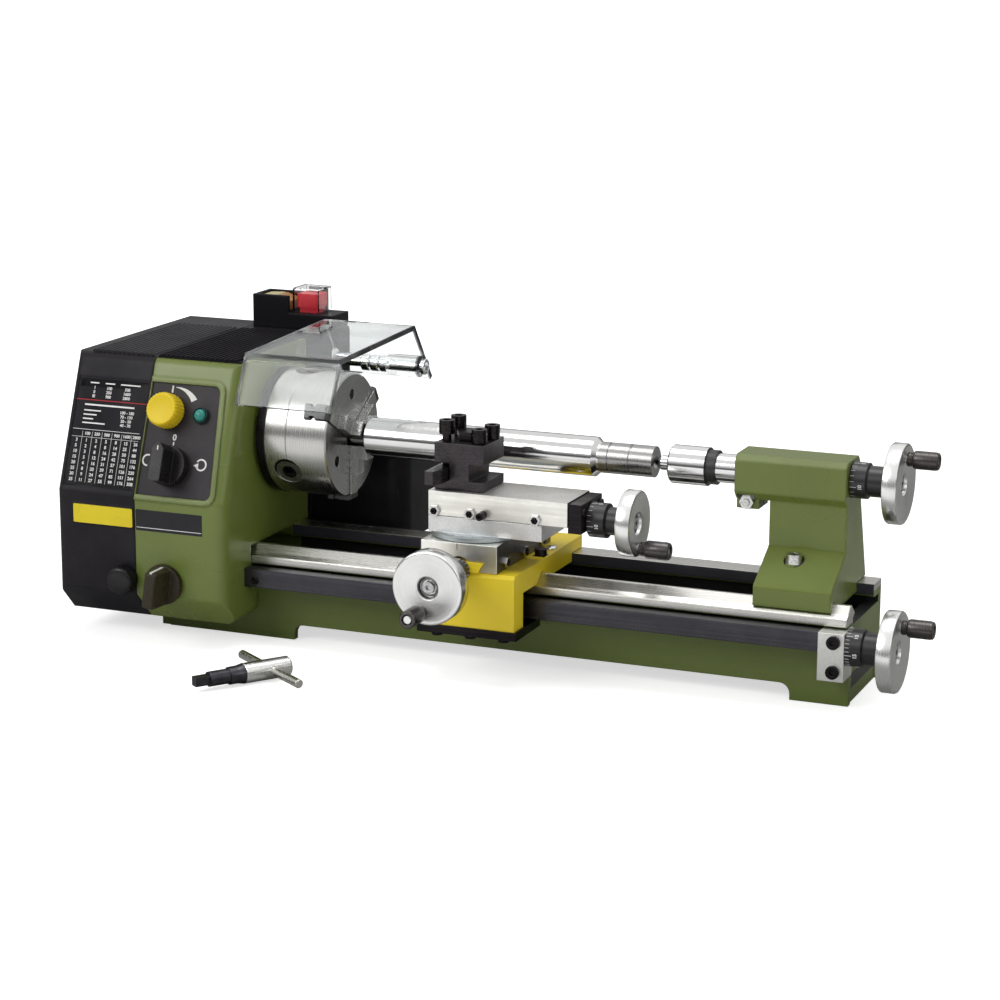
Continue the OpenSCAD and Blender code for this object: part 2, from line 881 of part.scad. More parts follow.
module feed_knob()
    color(black)
        on_chin(feed_knob_x, feed_knob_z) {
            translate([0, 0, gap])
                rotate(-28)
                    bar_knob(feed_knob_r, 7, 20, 9, 0);
            translate([0, 0, -13])
                cylinder(h = 14, r = shaft_r);
        }

// Switch box on the rear cover

module switch_box()
    color(black)
        difference() {
            union() {
                box([box_x, box_y, head_h], [box_x + box_l, rear_y - 0.5, head_h + box_low]);
                box([box_x, box_y, head_h], [box_x + box_step, rear_y - 0.5, head_h + box_high]);
                flap_bracket();
            }
            translate([0, 0, head_h + box_high - 8])
                along_y_wedge();
            translate([button_x, (box_y + rear_y) / 2, head_h + 1])
                cylinder(h = 30, r = shaft_r + run);
        }

// Upright rib that carries the hinge of the flap
module flap_bracket() {
    y = (box_y + rear_y) / 2 + button_w / 2;
    top_z = head_h + box_low + button_h + 4 - flap_t - flap_run;
    box([button_x - flap_bracket_l / 2, y + flap_room / 2, head_h],
        [button_x + flap_bracket_l / 2, y + flap_room + 2 * flap_t, top_z]);
}

// Open wedge in the raised part of the switch box
module along_y_wedge()
    along_y(box_y + 2.5, rear_y - 3)
        polygon([[box_x + 2.5, 9], [box_x + 2.5, 5], [box_x + box_step + 1, -2], [box_x + box_step + 1, 9]]);

module stop_button()
    color(red) {
        y = (box_y + rear_y) / 2;
        box([button_x - button_w / 2, y - button_w / 2, head_h + box_low + 3.4],
            [button_x + button_w / 2, y + button_w / 2, head_h + box_low + 3.4 + button_h]);
        translate([button_x, y, head_h + 4.5])
            cylinder(h = 10, r = shaft_r);
    }

module switch_flap()
    color(clear) {
        y = (box_y + rear_y) / 2;
        o = button_w / 2 + flap_room;
        z0 = head_h + box_low + 1;
        z1 = z0 + button_h + 4;
        difference() {
            box([button_x - o - flap_t, y - o - flap_t, z0], [button_x + o + flap_t, y + o + flap_t, z1]);
            box([button_x - o, y - o, z0 - 1], [button_x + o, y + o + flap_t + 1, z1 - flap_t]);
        }
        rod_x(button_x - o, button_x + o, flap_t, y + o + flap_t, z1 - flap_t);
    }

// Chuck guard

module guard_shape() {
    g = guard_line;
    n01 = unit([g[1][1] - g[0][1], g[0][0] - g[1][0]]);
    n23 = unit([g[3][1] - g[2][1], g[2][0] - g[3][0]]);
    polygon(concat(g, [g[3] + n23 * guard_t, inset(g[1], g[2], g[3], guard_t),
        inset(g[0], g[1], g[2], guard_t), g[0] + n01 * guard_t]));
}

module chuck_guard()
    color(clear)
        difference() {
            union() {
                along_x(guard_x0, guard_x)
                    guard_shape();
                rod_x(guard_tube_x, guard_x, guard_tube_r, hinge_y, hinge_z);
            }
            rod_x(guard_tube_x - 1, guard_x + 1, hinge_d / 2 + run, hinge_y, hinge_z);
        }

module guard_rod()
    color(steel) {
        rod_x(head_x, guard_x + 4, hinge_d / 2, hinge_y, hinge_z);
        rod_x(head_x, head_x + 5, hinge_d / 2 + 2.4, hinge_y, hinge_z);
        for (i = [0:2])
            rod_x(guard_tube_x - gap - collar_l + i * 6.4, guard_tube_x - gap - collar_l + i * 6.4 + 5.2,
                hinge_d / 2 + 2.2, hinge_y, hinge_z);
        rod_x(guard_x + gap, guard_x + 4, hinge_d / 2 + 2, hinge_y, hinge_z);
    }

// Spindle and drive

module spindle()
    color(steel)
        difference() {
            turn_x([[pulley_x - 4, 9.5], [rear_seat_x, 9.5], [rear_seat_x, rear_journal_d / 2],
                [rear_seat_x + seat_l - 1, rear_journal_d / 2], [rear_seat_x + seat_l - 1, 11],
                [front_seat_x - 1, 11], [front_seat_x - 1, front_journal_d / 2],
                [head_x - 3.5, front_journal_d / 2], [head_x - 3.5, 19], [plate_x, 19]]);
            rod_x(pulley_x - 5, plate_x + 1, spindle_bore_d / 2);
        }

module bearing(x, r0, r1, l)
    difference() {
        rod_x(x, x + l, r1);
        rod_x(x - 1, x + l + 1, r0);
        difference() {
            rod_x(x - 1, x + 0.8, r1 - 3);
            rod_x(x - 2, x + 2, r0 + 3);
        }
    }

module spindle_bearings()
    color(steel) {
        bearing(front_seat_x, front_journal_d / 2 + run, seat_r, seat_l);
        bearing(rear_seat_x, rear_journal_d / 2 + run, rear_seat_r, seat_l - 2);
    }

// Points of a stepped V-belt pulley with the given groove radii
function pulley_pts(rs) = [for (i = [0:len(rs) - 1]) for (k = [[0, pulley_flange], [groove_slope, 0],
    [groove_w - groove_slope, 0], [groove_w, pulley_flange]])
    [pulley_x + i * groove_w + k[0], rs[i] + k[1]]];

module spindle_pulley()
    color(dark_steel)
        difference() {
            union() {
                turn_x(pulley_pts([pulley_r, pulley_r + pulley_step, pulley_r + 2 * pulley_step]));
                translate([0, 0, spindle_z])
                    along_x(gear_x, gear_x + gear_t)
                        rotate(mesh_a)
                            gear_shape(gear_a);
                rod_x(pulley_x + 20, gear_x + 1, 11.5);
            }
            rod_x(pulley_x - 1, seam_x, 9.5);
        }

module motor()
    color(dark_steel)
        difference() {
            union() {
                rod_x(seam_x + 3, housing_x - 7, motor_d / 2, motor_y, motor_z);
                rod_x(seam_x, seam_x + 4, 10, motor_y, motor_z);
            }
            rod_x(seam_x - 1, seam_x + 14, stud_r + run, motor_y, motor_z);
        }

module motor_pulley()
    color(steel) {
        turn_x(pulley_pts([pulley_r, pulley_r - pulley_step, pulley_r - 2 * pulley_step]), motor_y, motor_z);
        rod_x(pulley_x - 3, seam_x + 12, stud_r, motor_y, motor_z);
    }

module belt_loop(grow)
    hull() {
        translate([0, spindle_z])
            circle(pulley_r + pulley_step + grow, $fn = 72);
        translate([motor_y, motor_z])
            circle(pulley_r - pulley_step + grow, $fn = 72);
    }

module drive_belt()
    color(black)
        along_x(pulley_x + groove_w + groove_slope, pulley_x + 2 * groove_w - groove_slope)
            difference() {
                belt_loop(gap + belt_t);
                belt_loop(gap);
            }

module idler_gear()
    color(brass)
        difference() {
            translate([0, idler_y, idler_z])
                along_x(gear_x, gear_x + gear_t)
                    rotate(mesh_a + 180 + 180 / gear_b)
                        gear_shape(gear_b);
            rod_x(gear_x - 1, seam_x, stud_r + run, idler_y, idler_z);
            for (i = [0:4])
                translate([0, idler_y, idler_z])
                    rotate([i * 72, 0, 0])
                        rod_x(gear_x - 1, seam_x, 6, 18, 0);
        }

// Chuck

module backplate()
    color(black)
        difference() {
            rod_x(plate_x, chuck_x, chuck_r + 0.5);
            rod_x(plate_x - 1, chuck_x + 1, spindle_bore_d / 2);
        }

// Slot of a jaw, seen along the radius
module jaw_slot() {
    w = jaw_w / 2 + gap;
    t = jaw_groove;
    x = [cavity_x - eps, guide_x + gap, guide_x + guide_w - gap, face_x + 1];
    polygon([[x[0], -w], [x[1], -w], [x[1], t - w], [x[2], t - w], [x[2], -w], [x[3], -w],
        [x[3], w], [x[2], w], [x[2], w - t], [x[1], w - t], [x[1], w], [x[0], w]]);
}

module chuck_body()
    color(steel)
        difference() {
            turn_x([[chuck_x, chuck_r], [face_x - 1, chuck_r], [face_x, chuck_r - 1]]);
            rod_x(chuck_x - 1, face_x + 1, chuck_bore_d / 2);
            difference() {
                rod_x(chuck_x - 1, cavity_x, wall_r);
                rod_x(chuck_x - 2, cavity_x + 1, hub_r);
            }
            for (a = jaw_angle)
                at_angle(a)
                    along_y(-chuck_r - 2, -hub_r / 3)
                        jaw_slot();
            for (a = pinion_angle)
                at_angle(a) {
                    rod_y(-chuck_r - 2, -wall_r + 1, pinion_r + run, pinion_x, 0);
                    rod_x(face_x - 7, face_x + 1, 3.2, -chuck_r * 0.66, 0);
                }
            difference() {
                rod_x(pinion_x + 0.5, pinion_x + 1, chuck_r + 1);
                rod_x(pinion_x, pinion_x + 2, chuck_r - 0.4);
            }
        }

// Both edges of the spiral thread, from the hub to the rim
function spiral(w) = [for (t = [0:15:360 * (scroll_r - hub_r - 3.2) / scroll_pitch])
    let(r = hub_r + 1.5 + scroll_pitch * t / 360 + w) r * [cos(t), sin(t)]];

module scroll()
    color(steel)
        difference() {
            union() {
                rod_x(scroll_x, scroll_x + scroll_t, scroll_r);
                translate([scroll_x + scroll_t - eps, 0, spindle_z])
                    rotate([90, 0, 90])
                        linear_extrude(thread_h + eps)
                            polygon(concat(spiral(-thread_w / 2),
                                [for (i = [len(spiral(0)) - 1:-1:0]) spiral(thread_w / 2)[i]]));
            }
            rod_x(scroll_x - 1, thread_x + 1, hub_r + run);
        }

// Radius of the gap between two turns of the spiral, in the direction of a jaw
function tooth_r(k, i) = let(t = 180 - jaw_angle[k]) hub_r + 1.5 + scroll_pitch * (t / 360 + 0.5 + i);

module jaw(k)
    color(steel)
        at_angle(jaw_angle[k])
            difference() {
                union() {
                    translate([0, 0, -jaw_w / 2])
                        linear_extrude(jaw_w)
                            polygon([[cavity_x + 0.3, -jaw_r0], [jaw_nose_x, -jaw_r0],
                                [jaw_nose_x, -jaw_step_r[0]], [jaw_mid_x, -jaw_step_r[0]],
                                [jaw_mid_x, -jaw_step_r[1]],
                                [face_x + 1.3, -jaw_step_r[1]],
                                [face_x + 1.3, -jaw_reach + 1], [face_x - 1, -jaw_reach],
                                [cavity_x + 0.3, -jaw_reach]]);
                    for (i = [0:2])
                        jaw_tooth(tooth_r(k, i));
                }
                for (s = [-1, 1])
                    translate([0, 0, s * jaw_w / 2])
                        box([guide_x, -jaw_reach - 1, -jaw_groove], [guide_x + guide_w, 0, jaw_groove]);
                for (s = [-1, 1])
                    translate([0, 0, s * (jaw_w / 2 + 0.2)])
                        rotate([s * 52, 0, 0])
                            translate([cavity_x - 1, -jaw_r0 - 3.2, -3])
                                cube([chuck_l * 1.5, chuck_r * 0.8, 6]);
            }

module jaw_tooth(r)
    translate([cavity_x + 0.5 - thread_h, 0, 0])
        rotate([90, 0, 90])
            linear_extrude(thread_h)
                intersection() {
                    difference() {
                        circle(r + thread_w / 2);
                        circle(r - thread_w / 2);
                    }
                    translate([-r - 3, -jaw_w / 2 + 1.2])
                        square([r, jaw_w - 2.4]);
                }

module jaw_1() jaw(0);

module jaw_2() jaw(1);

module jaw_3() jaw(2);

module pinion(k)
    color(dark_steel)
        at_angle(pinion_angle[k])
            translate([pinion_x, 0, 0])
                difference() {
                    union() {
                        rod_y(-chuck_r + 1.2, -wall_r - 0.3, pinion_r, 0, 0);
                        rod_y(-wall_r - 0.4, -22, pinion_neck_r, 0, 0);
                    }
                    translate([-socket / 2, -chuck_r, -socket / 2])
                        cube([socket, 9, socket]);
                }

module pinion_1() pinion(0);

module pinion_2() pinion(1);

module pinion_3() pinion(2);

module workpiece()
    color(steel)
        difference() {
            turn_x([[cavity_x + 1, neck_d / 2], [bar_x, neck_d / 2],
                [bar_x, work_d / 2 - 0.6], [bar_x + 0.6, work_d / 2],
                [bar_end, work_d / 2], [bar_end + work_d / 2 - ring_r, ring_r], [ring_x + 5, ring_r],
                [ring_x + 5, ring_r - 0.6], [ring_x + 6, ring_r - 0.6], [ring_x + 6, ring_r],
                [ring_x + 18, ring_r], [ring_x + 18, ring_r - 0.6], [ring_x + 19, ring_r - 0.6],
                [ring_x + 19, ring_r], [ring_end, ring_r]]);
            turn_x([[ring_end - centre_hole_l, 0.6], [ring_end - 3.6, 0.6],
                [ring_end + 1.5, centre_hole_r + 1.5]]);
        }

// Handwheels, drawn along +Z from the inner face of the wheel

module wheel(d, t)
    difference() {
        turned([[0, 7], [0, d / 2 - 3.5], [0.6, d / 2 - 0.6], [1.2, d / 2], [t - 1, d / 2], [t, d / 2 - 1],
            [t, d / 2 - 2], [t - 1, 7], [t - 1.5, 6], [t - 4.5, 6], [t - 4.5, 4], [t - 2, 4]]);
        translate([0, 0, -1])
            cylinder(h = 4, r = 3);
    }

module wheel_stud(t, a)
    rotate(a)
        translate([grip_r, 0, t - 3])
            cylinder(h = grip_l + 1, r = stud_rod_r);

module grip(t, a)
    color(black)
        rotate(a)
            translate([grip_r, 0, t + gap])
                difference() {
                    turned([[0, 3.6], [1.2, grip_d / 2 - 0.5], [3, grip_d / 2], [grip_l - 5, grip_d / 2],
                        [grip_l - 1.6, grip_d / 2 - 0.7], [grip_l, grip_d / 2 - 2.4]]);
                    translate([0, 0, -1])
                        cylinder(h = grip_l, r = stud_rod_r + run);
                }

module facing_right(x, y, z)
    translate([x, y, z])
        rotate([90, 0, 90])
            children();

module facing_front(x, y, z)
    translate([x, y, z])
        rotate([90, 0, 0])
            children();

// Leadscrew

module leadscrew()
    color(steel) {
        rod_x(feed_gear_x, block_end, lead_d / 2, lead_y, lead_z);
        turn_x([[block_end - 0.1, lead_d / 2], [lead_dial_x, lead_d / 2], [lead_dial_x, lead_dial_r],
            [lead_dial_x + 9, lead_dial_r], [lead_dial_x + 10, lead_dial_r - 1.5],
            [lead_wheel_x, lead_dial_r - 1.5], [lead_wheel_x, 3], [lead_wheel_x + 3, 3]], lead_y, lead_z);
        translate([0, lead_y, lead_z])
            along_x(feed_gear_x, feed_gear_x + feed_gear_t)
                gear_shape(gear_c);
    }

module lead_wheel()
    color(steel)
        facing_right(lead_wheel_x, lead_y, lead_z) {
            wheel(wheel_d, wheel_t);
            wheel_stud(wheel_t, 90);
        }

module lead_grip()
    facing_right(lead_wheel_x, lead_y, lead_z)
        grip(wheel_t, 90);

module leadscrew_cover()
    color(black)
        difference() {
            union() {
                box([head_x, bar_front, bar_top - bar_h], [bar_end_x, bar_front + bar_t, bar_top]);
                box([head_x, bar_front, bar_top - bar_t], [bar_end_x, wall_y, bar_top]);
            }
            rod_y(bar_front - 1, bar_front + 3, 1.7, head_x + 7, bar_top - bar_h + 4.2);
        }

module bearing_block()
    color(black)
        difference() {
            union() {
                box([block_x, bar_front, block_z0], [block_end, wall_y, bar_top]);
                for (z = [block_z0 + 5.6, bar_top - 5])
                    rod_y(bar_front - 2.2, bar_front + 1, 3.8, block_x + 9, z);
            }
            rod_x(block_x - 1, block_end + 1, lead_d / 2 + run, lead_y, lead_z);
            translate([block_x + block_l / 2, lead_y + 3, bar_top - 3])
                cylinder(h = 4, r = 1.5);
            for (z = [block_z0 + 5.6, bar_top - 5])
                rod_y(bar_front - 3, bar_front, 1.8, block_x + 9, z, $fn = 6);
        }

// Saddle

module dovetail(half, slope, h)
    polygon([[-half, -eps], [half, -eps], [half, 0], [half + slope, h], [-half - slope, h], [-half, 0]]);

module saddle()
    color(yellow)
        difference() {
            union() {
                along_x(saddle_x, saddle_x + saddle_w)
                    polygon(concat([[saddle_front, apron_bottom], [saddle_front + apron_t, apron_bottom],
                        [saddle_front + apron_t, saddle_z0], [lip_y - gap - 0.6, saddle_z0]], way_line(gap),
                        [[wall_y + 8.39, saddle_z0], [rear_way_y - gap, saddle_z0],
                        [rear_way_y - gap, way_h + gap], [saddle_rear, way_h + gap], [saddle_rear, saddle_z1],
                        [saddle_front + 2, saddle_z1], [saddle_front, saddle_z1 - 2]]));
                along_y(saddle_front, saddle_rear)
                    translate([cross_x, saddle_z1])
                        dovetail(cross_dove_w / 2, dove_slope, dove_h);
                translate([saddle_x + saddle_w - 4.7, wall_y + 10.8, saddle_z1 - 1])
                    cylinder(h = 5, r = 3.6);
            }
            box([cross_x - slot_half, saddle_front + web_l, cross_z - slot_half],
                [cross_x + slot_half, saddle_rear + 1, saddle_z1 + dove_h + 1]);
            rod_y(saddle_front - 1, saddle_front + web_l + 1, cross_r + run, cross_x, cross_z);
        }

module clamp_plate()
    color(dark_steel)
        difference() {
            union() {
                box([saddle_x - 0.7, saddle_front - 0.5, apron_bottom - clamp_t],
                    [saddle_x + saddle_w + 1.3, lead_y + 4, apron_bottom]);
                box([saddle_x + lead_nut_x, lead_y - lead_nut_half, apron_bottom - 1],
                    [saddle_x + lead_nut_x + lead_nut_l, lead_y + lead_nut_half, lead_z + lead_nut_half]);
                for (i = [0:2])
                    translate([saddle_x + 9 + i * (saddle_w - 18) / 2, saddle_front + 7,
                            apron_bottom - clamp_t - 2.6])
                        cylinder(h = 3, r = 3.4);
            }
            rod_x(saddle_x - 5, saddle_x + saddle_w + 5, lead_d / 2 + run, lead_y, lead_z);
        }

// Cross slide

module cross_slide()
    color(steel)
        difference() {
            union() {
                difference() {
                    box([cross_x - cross_w / 2, cross_front, cross_z0],
                        [cross_x + cross_w / 2, cross_front + cross_l, cross_z1]);
                    along_y(cross_front - 1, cross_front + cross_l + 1)
                        translate([cross_x, saddle_z1])
                            dovetail(cross_dove_w / 2 + gap, dove_slope, dove_h + gap);
                    rod_y(cross_front - 1, cross_front + cross_l + 1, arch_clear_r, cross_x, cross_z);
                    translate([swivel_x, swivel_y, cross_z1 - boss_h])
                        cylinder(h = boss_h + 1, r = boss_r + run);
                }
                box([cross_x - slot_half + 0.4, nut_y, cross_z - slot_half + 0.4],
                    [cross_x + slot_half - 0.4, nut_y + nut_l, cross_z + arch_clear_r + 0.5]);
                for (y = [14, 42, 70])
                    translate([cross_x + cross_w / 2 - 0.5, cross_front + y, cross_z0 + 4])
                        rotate([0, 90, 0])
                            cylinder(h = 2.5, r = 2.4);
            }
            rod_y(nut_y - 1, nut_y + nut_l + 1, cross_r + run, cross_x, cross_z);
        }

module cross_screw()
    color(steel) {
        rod_y(saddle_front - gap - 0.1, saddle_rear - 5, cross_r, cross_x, cross_z);
        facing_front(cross_x, saddle_front - gap, cross_z)
            turned([[0, cross_dial_r], [12, cross_dial_r], [13, cross_dial_r - 1],
                [cross_dial_l - 12, cross_dial_r - 1],
                [cross_dial_l - 11, cross_dial_r], [cross_dial_l, cross_dial_r], [cross_dial_l, 5],
                [cross_dial_l + 0.6, 5], [cross_dial_l + 0.6, 3], [cross_dial_l + 3.6, 3]]);
    }

module cross_wheel()
    color(steel)
        facing_front(cross_x, cross_wheel_y, cross_z) {
            wheel(cross_wheel_d, wheel_t + 2);
            wheel_stud(wheel_t + 2, -106);
        }

module cross_grip()
    facing_front(cross_x, cross_wheel_y, cross_z)
        grip(wheel_t + 2, -106);

// Swivel base and top slide

module swivel_base()
    color(steel)
        difference() {
            union() {
                translate([swivel_x, swivel_y, disc_z])
                    cylinder(h = disc_t, r = disc_d / 2);
                translate([swivel_x, swivel_y, cross_z1 - boss_h + gap])
                    cylinder(h = boss_h + 1, r = boss_r);
                box([base_x, top_y - base_w / 2, base_z0 - eps],
                    [base_x + base_l, top_y + base_w / 2, base_z1]);
                along_x(base_x, base_x + base_l)
                    translate([top_y, base_z1])
                        dovetail(top_dove_w, top_dove_slope, top_dove_h);
            }
            difference() {
                box([base_x - 1, top_y - slot_half, top_screw_z - slot_half],
                    [base_x + base_l + 1, top_y + slot_half, base_z1 + top_dove_h + 1]);
                box([top_nut_x, top_y - slot_half - 1, top_screw_z - slot_half - 1],
                    [top_nut_x + nut_l, top_y + slot_half + 1, base_z1 + top_dove_h]);
            }
            rod_x(base_x - 1, base_x + base_l + 1, cross_r + run, top_y, top_screw_z);
        }

module top_slide()
    color(steel) {
        difference() {
            union() {
                box([base_x, top_y - top_w / 2, top_z0], [bracket_x, top_y + top_w / 2, top_z1]);
                box([bracket_x, top_y - top_w / 2 + 1, base_z1 - 3],
                    [bracket_x + bracket_l, top_y + top_w / 2 - 1, top_z1 - 0.8]);
                for (x = [4, 26, 66])
                    rod_y(top_y - top_w / 2 - 1.8, top_y - top_w / 2 + 0.5, 2.4, base_x + x, top_z0 + 2.6);
            }
            along_x(base_x - 1, bracket_x)
                translate([top_y, base_z1])
                    dovetail(top_dove_w + gap, top_dove_slope, top_dove_h + gap);
            rod_x(bracket_x - 1, bracket_x + bracket_l + 1, cross_r + run, top_y, top_screw_z);
            rod_x(base_x - 1, bracket_x, cross_r + 1, top_y, top_screw_z);
        }
        translate([post_x, post_y, top_z1 - 1])
            cylinder(h = post_h + gap + 1.5 + gap, r = post_stud_r);
        translate([post_x, post_y, post_z1 + gap])
            cylinder(h = 5, r = 7.5, $fn = 6);
    }

module top_screw()
    color(steel) {
        rod_x(base_x + 14, top_dial_x + 1, cross_r, top_y, top_screw_z);
        turn_x([[top_dial_x, top_dial_r], [top_dial_x + 10, top_dial_r], [top_dial_x + 11, top_dial_r - 2],
            [top_wheel_x, top_dial_r - 2], [top_wheel_x, 3], [top_wheel_x + 3, 3]], top_y, top_screw_z);
    }

module top_wheel()
    color(steel)
        facing_right(top_wheel_x, top_y, top_screw_z) {
            wheel(top_wheel_d, wheel_t);
            wheel_stud(wheel_t, -90);
        }

module top_grip()
    facing_right(top_wheel_x, top_y, top_screw_z)
        grip(wheel_t, -90);

// Tool post

module tool_post()
    color(steel)
        difference() {
            box([post_x - post_w / 2, post_y - post_w / 2, post_z0],
                [post_x + post_w / 2, post_y + post_w / 2, post_z1]);
            box([post_x - post_w, post_y - post_w, slot_z],
                [post_x - post_w / 2 + slot_depth, post_y + post_w, slot_z + slot_h]);
            box([post_x + post_w / 2 - slot_depth, post_y - post_w, slot_z],
                [post_x + post_w, post_y + post_w, slot_z + slot_h]);
            translate([post_x, post_y, post_z0 - 1])
                cylinder(h = post_h + 2, r = post_stud_r + run);
            for (s = post_screw_at)
                translate([post_x + s[0], post_y + s[1], slot_z + 1])
                    cylinder(h = 30, r = 2.5);
        }

module post_screws()
    color(dark_steel)
        for (s = post_screw_at) {
            translate([post_x + s[0], post_y + s[1], slot_z + tool_w + (s[2] == 0 ? 0.05 : 1)])
                cylinder(h = post_z1 - slot_z - tool_w + 1, r = 2.5);
            translate([post_x + s[0], post_y + s[1], post_z1 + post_screw_h[s[2]] - 8])
                difference() {
                    cylinder(h = 8, r = post_screw_r);
                    translate([0, 0, 4.5])
                        cylinder(h = 4, r = 2.4, $fn = 6);
                }
            translate([post_x + s[0], post_y + s[1], post_z1])
                cylinder(h = post_screw_h[s[2]] - 7.9, r = 2.6);
        }

module tool_bit()
    color(dark_steel)
        translate([post_x - post_w / 2 + 0.9, post_y - tool_front, slot_z])
            difference() {
                cube([tool_w, tool_front + tool_rear, tool_w]);
                translate([-1, -5, 1.4])
                    rotate([28, 0, 0])
                        cube([tool_w + 2, 5, tool_w * 2]);
                translate([tool_w - 3.4, -1, -1])
                    rotate([0, 0, -24])
                        cube([8, 16, tool_w + 2]);
            }

// Tailstock

module tailstock()
    color(green)
        difference() {
            union() {
                along_x(tail_x, tail_end)
                    polygon([[-barrel_half_w, barrel_bottom + 4.5], [-barrel_half_w, barrel_top - 3.3],
                        [-barrel_half_w + 3.5, barrel_top], [barrel_half_w - 3.5, barrel_top],
                        [barrel_half_w, barrel_top - 3.3], [barrel_half_w, barrel_bottom + 4.5],
                        [10.5, barrel_bottom], [-10.5, barrel_bottom]]);
                along_x(column_x, tail_end)
                    polygon(concat([[column_y, barrel_bottom + 1], [column_y, shoulder_z],
                        [tail_front + 1.5, toe_z + 0.5], [tail_front, toe_z - 1],
                        [tail_front, saddle_z0 + 1.2]],
                        [for (i = [1:3]) way_line(gap)[i]],
                        [[wall_y + 8.39, saddle_z0], [rear_way_y - gap, saddle_z0],
                        [rear_way_y - gap, way_h + gap], [tail_rear, way_h + gap], [19, barrel_bottom - 1],
                        [15, barrel_bottom + 6]]));
                box([tail_x, -ear_w, ear_z], [tail_x + ear_l, ear_w, barrel_bottom + 1]);
                rod_y(-ear_w - 3, -ear_w + 1, 4.2, tail_x + 6.5, ear_z + 4.2, $fn = 6);
                translate([column_x + 17, wall_y + 13.2, toe_z + 4])
                    cylinder(h = 6, r = 5, $fn = 6);
            }
            rod_x(tail_x - 1, tail_end - end_wall, quill_r + run);
            rod_x(tail_x, tail_end + 1, tail_screw_r + run);
            box([tail_x - 1, -0.6, ear_z - 1], [tail_x + ear_l, 0.6, spindle_z]);
            translate([column_x + 17, wall_y + 13.2, toe_z + 4])
                difference() {
                    cylinder(h = 40, r = 8);
                    translate([0, 0, -1])
                        cylinder(h = 7, r = 5, $fn = 6);
                }
        }

module quill()
    color(steel)
        difference() {
            union() {
                rod_x(centre_ring_x, quill_end, quill_r);
                rod_x(centre_ring_x, centre_back, centre_d / 2 - 1.2);
                turn_x([[centre_x, centre_d / 2 - 1], [centre_x + 1, centre_d / 2],
                    [centre_ring_x, centre_d / 2]]);
            }
            rod_x(centre_x - 1, centre_x + 12, centre_neck_r + run);
            rod_x(tail_x + 3, quill_end + 1, tail_screw_r + run);
        }

module live_centre()
    color(steel)
        turn_x([[centre_tip, 0.2], [centre_tip + 6.4, centre_neck_r], [centre_x + 11, centre_neck_r]]);

module tail_screw()
    color(steel) {
        rod_x(tail_x + 21, tail_dial_x + 1, tail_screw_r);
        turn_x([[tail_dial_x, tail_dial_r], [tail_dial_x + 9, tail_dial_r],
            [tail_dial_x + 10, tail_dial_r - 1.5],
            [tail_wheel_x, tail_dial_r - 1.5], [tail_wheel_x, 3], [tail_wheel_x + 3, 3]]);
    }

module tail_wheel()
    color(steel)
        facing_right(tail_wheel_x, 0, spindle_z) {
            wheel(wheel_d, wheel_t);
            wheel_stud(wheel_t, 90);
        }

module tail_grip()
    facing_right(tail_wheel_x, 0, spindle_z)
        grip(wheel_t, 90);

// Chuck key, lying on the ground in front of the bed

module lying()
    translate([key_a[0], key_a[1], key_z])
        rotate([0, 90, key_turn])
            children();

module chuck_key()
    color(dark_steel)
        lying()
            difference() {
                union() {
                    translate([-socket / 2 + 0.1, -socket / 2 + 0.1, 0])
                        cube([socket - 0.2, socket - 0.2, key_square_l + 1]);
                    translate([0, 0, key_square_l])
                        cylinder(h = key_shank_l - key_square_l + 1, r = key_shank_r);
                    translate([0, 0, key_shank_l])
                        turned([[0, key_d / 2 - 1], [1, key_d / 2], [key_l - key_shank_l - 1, key_d / 2],
                            [key_l - key_shank_l, key_d / 2 - 1]]);
                }
                translate([0, key_d, key_l * key_cross])
                    rotate([90, 0, 0])
                        cylinder(h = 2 * key_d, r = tbar_d / 2 + run);
            }

module key_bar()
    color(steel)
        lying()
            translate([0, tbar_l / 2, key_l * key_cross])
                rotate([90, 0, 0])
                    turned([[0, tbar_d / 2 - 0.5], [0.5, tbar_d / 2],
                        [tbar_l - 0.5, tbar_d / 2], [tbar_l, tbar_d / 2 - 0.5]]);

bed();
headstock();
end_cover();
cover_screw();
top_cover();
rear_cover();
control_panel();
speed_knob();
direction_switch();
pilot_lamp();
feed_knob();
switch_box();
stop_button();
switch_flap();
chuck_guard();
guard_rod();
spindle();
spindle_bearings();
spindle_pulley();
motor();
motor_pulley();
drive_belt();
idler_gear();
backplate();
chuck_body();
scroll();
jaw_1();
jaw_2();
jaw_3();
pinion_1();
pinion_2();
pinion_3();
workpiece();
leadscrew();
leadscrew_cover();
bearing_block();
lead_wheel();
lead_grip();
saddle();
clamp_plate();
cross_slide();
cross_screw();
cross_wheel();
cross_grip();
swivel_base();
top_slide();
top_screw();
top_wheel();
top_grip();
tool_post();
post_screws();
tool_bit();
tailstock();
quill();
live_centre();
tail_screw();
tail_wheel();
tail_grip();
chuck_key();
key_bar();
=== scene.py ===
import math

import bmesh
import bpy
from mathutils import Matrix, Vector


